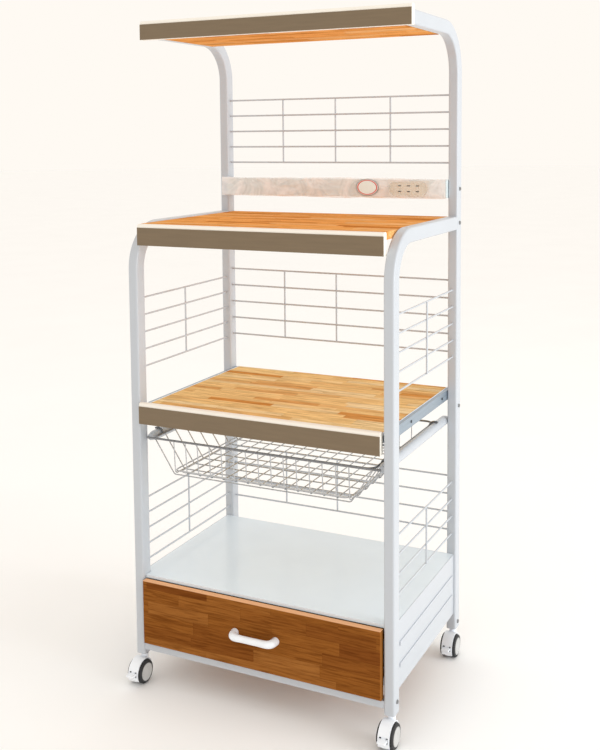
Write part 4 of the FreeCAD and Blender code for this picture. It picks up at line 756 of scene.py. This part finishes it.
class CART_OT_film(bpy.types.Operator):
    """Lay the loose clear film over the power strip"""
    bl_idname = "cart.film"
    bl_label = "Film sleeve"

    def execute(self, context):
        sizes = context.scene.cart_sizes
        low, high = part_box("power_strip_case")
        plate_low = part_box("power_strip_outlet_plate")[0]
        left = low.x - sizes.film_past
        wide = high.x - left - 0.0005
        tall = high.z - low.z
        around = tall + 2 * FILM_LAP
        bpy.ops.object.select_all(action="DESELECT")
        bpy.ops.mesh.primitive_grid_add(x_subdivisions=220, y_subdivisions=40, size=1)
        sheet = bpy.context.active_object
        mesh = sheet.data
        front = plate_low.y - FILM_OFF
        for vertex in mesh.vertices:
            u = vertex.co.x + 0.5
            v = (vertex.co.y + 0.5) * around
            x = left + u * wide
            crease = noise.fractal(Vector((x * 13, v * 34, 3.1)), 0.9, 2.0, 3)
            fold = noise.noise(Vector((x * 7 + v * 22, v * 9, 7.7)))
            puff = sizes.film_crease * (0.5 * crease + 0.8 * fold)
            bulge = sizes.film_crease * 1.3 * noise.noise(Vector((x * 11, 1.3, 0.0)))
            if v < FILM_LAP:
                vertex.co = (x, front + (FILM_LAP - v), low.z - FILM_OFF - abs(bulge) * 0.6 - abs(puff) * 0.3)
            elif v > FILM_LAP + tall:
                vertex.co = (x, front + (v - FILM_LAP - tall),
                             high.z + FILM_OFF + abs(bulge) + abs(puff) * 0.4)
            else:
                share = (v - FILM_LAP) / tall
                edge = math.sin(math.pi * share)
                z = low.z - FILM_OFF + (tall + 2 * FILM_OFF) * share + bulge * (share - 0.5)
                vertex.co = (x, front - abs(puff) * edge * 0.9 - 0.0004, z)
        only(sheet)
        use_modifier(sheet, "SMOOTH", "settle", factor=0.5, iterations=2)
        soften(sheet, 180)
        finish_piece(sheet, "strip_film_sleeve", "frame", "polyethylene_film",
                     ("power_strip_film",))
        return {"FINISHED"}


class CART_OT_sticker(bpy.types.Operator):
    """Stick the bare oval sticker on the film"""
    bl_idname = "cart.sticker"
    bl_label = "Oval sticker"

    def execute(self, context):
        sizes = context.scene.cart_sizes
        low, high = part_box("power_strip_case")
        plate_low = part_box("power_strip_outlet_plate")[0]
        centre = Vector((plate_low.x - 0.049, plate_low.y - sizes.film_crease - FILM_OFF,
                         (low.z + high.z) / 2 + 0.002))
        bpy.ops.object.select_all(action="DESELECT")
        bpy.ops.mesh.primitive_circle_add(vertices=72, radius=0.5, fill_type="NGON", location=centre,
                                          rotation=(math.pi / 2, 0, 0))
        item = bpy.context.active_object
        item.scale = (sizes.sticker_wide, sizes.sticker_high, 1)
        apply_place(item)
        only(item)
        bpy.ops.object.mode_set(mode="EDIT")
        bpy.ops.mesh.select_all(action="SELECT")
        bpy.ops.mesh.inset(thickness=0.002)
        bpy.ops.object.mode_set(mode="OBJECT")
        for vertex in item.data.vertices:
            bend = (vertex.co.x - centre.x) / (sizes.sticker_wide / 2)
            vertex.co.y += 0.0011 * bend * bend
        use_modifier(item, "SOLIDIFY", "paper", thickness=0.0004, offset=1.0)
        soften(item, 30)
        sticker_paper(context.scene.cart_colours, centre, sizes.sticker_wide, sizes.sticker_high)
        finish_piece(item, "oval_sticker", "frame", "coated_sticker_paper")
        return {"FINISHED"}


class CART_OT_stage(bpy.types.Operator):
    """Set the floor, the soft lights and the camera"""
    bl_idname = "cart.stage"
    bl_label = "Stage"

    def execute(self, context):
        scene = context.scene
        bpy.ops.object.select_all(action="DESELECT")
        bpy.ops.mesh.primitive_circle_add(vertices=96, radius=40.0, fill_type="NGON")
        floor = bpy.context.active_object
        floor.name = "studio_floor"
        floor.data.materials.append(studio_floor(scene.cart_colours))
        world = bpy.data.worlds.new("pale_surround")
        world.use_nodes = True
        surround = world.node_tree.nodes["Background"]
        surround.inputs["Color"].default_value = (*rgb("#FFFAF3"), 1)
        surround.inputs["Strength"].default_value = 1.0
        scene.world = world
        scene.view_settings.view_transform = "Standard"
        self.softbox("key_softbox", (4.4, 0.0, 1.5), (0.1, 0, 0.8), 2.4, 95)
        self.camera(scene)
        return {"FINISHED"}

    def softbox(self, name, place, target, size, power):
        light = bpy.data.lights.new(name, "AREA")
        light.shape = "SQUARE"
        light.size = size
        light.energy = power
        light.color = (0.9, 0.96, 1.0)
        item = bpy.data.objects.new(name, light)
        item.location = place
        item.rotation_euler = (Vector(target) - Vector(place)).to_track_quat("-Z", "Y").to_euler()
        bpy.context.scene.collection.objects.link(item)

    def camera(self, scene):
        """The photograph's own viewpoint, found from the cart's straight edges."""
        width, height = PHOTO_SIZE
        focal_pixels = 1028.0
        axis_row = 228.3
        yaw, pitch, roll = 0.4524, -0.08738, -0.00834
        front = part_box("front_post_R")[0].y
        lens = bpy.data.cameras.new("photo_camera")
        lens.sensor_fit = "HORIZONTAL"
        lens.sensor_width = 36.0
        lens.lens = 36.0 * focal_pixels / width
        lens.shift_y = (axis_row - height / 2) / width
        camera = bpy.data.objects.new("photo_camera", lens)
        place = Matrix.Translation((0.973, front - 1.784, 1.179))
        turn = (Matrix.Rotation(yaw, 4, "Z") @ Matrix.Rotation(math.pi / 2 + pitch, 4, "X")
                @ Matrix.Rotation(roll, 4, "Z"))
        camera.matrix_world = place @ turn
        scene.collection.objects.link(camera)
        scene.camera = camera


class CART_PT_panel(bpy.types.Panel):
    """The cart's steps, in the order in which they run"""
    bl_label = "Microwave cart"
    bl_idname = "CART_PT_panel"
    bl_space_type = "VIEW_3D"
    bl_region_type = "UI"
    bl_category = "Cart"

    def draw(self, context):
        for step in STEPS:
            self.layout.operator(step.bl_idname)


STEPS = (CART_OT_finishes, CART_OT_basket, CART_OT_handle, CART_OT_screws, CART_OT_hubs, CART_OT_film,
         CART_OT_sticker, CART_OT_stage)
CLASSES = (CartColours, CartSizes, *STEPS, CART_PT_panel)


def register():
    for item in CLASSES:
        bpy.utils.register_class(item)
    bpy.types.Scene.cart_colours = PointerProperty(type=CartColours)
    bpy.types.Scene.cart_sizes = PointerProperty(type=CartSizes)


def unregister():
    del bpy.types.Scene.cart_sizes
    del bpy.types.Scene.cart_colours
    for item in reversed(CLASSES):
        bpy.utils.unregister_class(item)


def main():
    register()
    bpy.ops.cart.finishes()
    bpy.ops.cart.basket()
    bpy.ops.cart.handle()
    bpy.ops.cart.screws()
    bpy.ops.cart.hubs()
    bpy.ops.cart.film()
    bpy.ops.cart.sticker()
    bpy.ops.cart.stage()


if __name__ == "__main__":
    main()
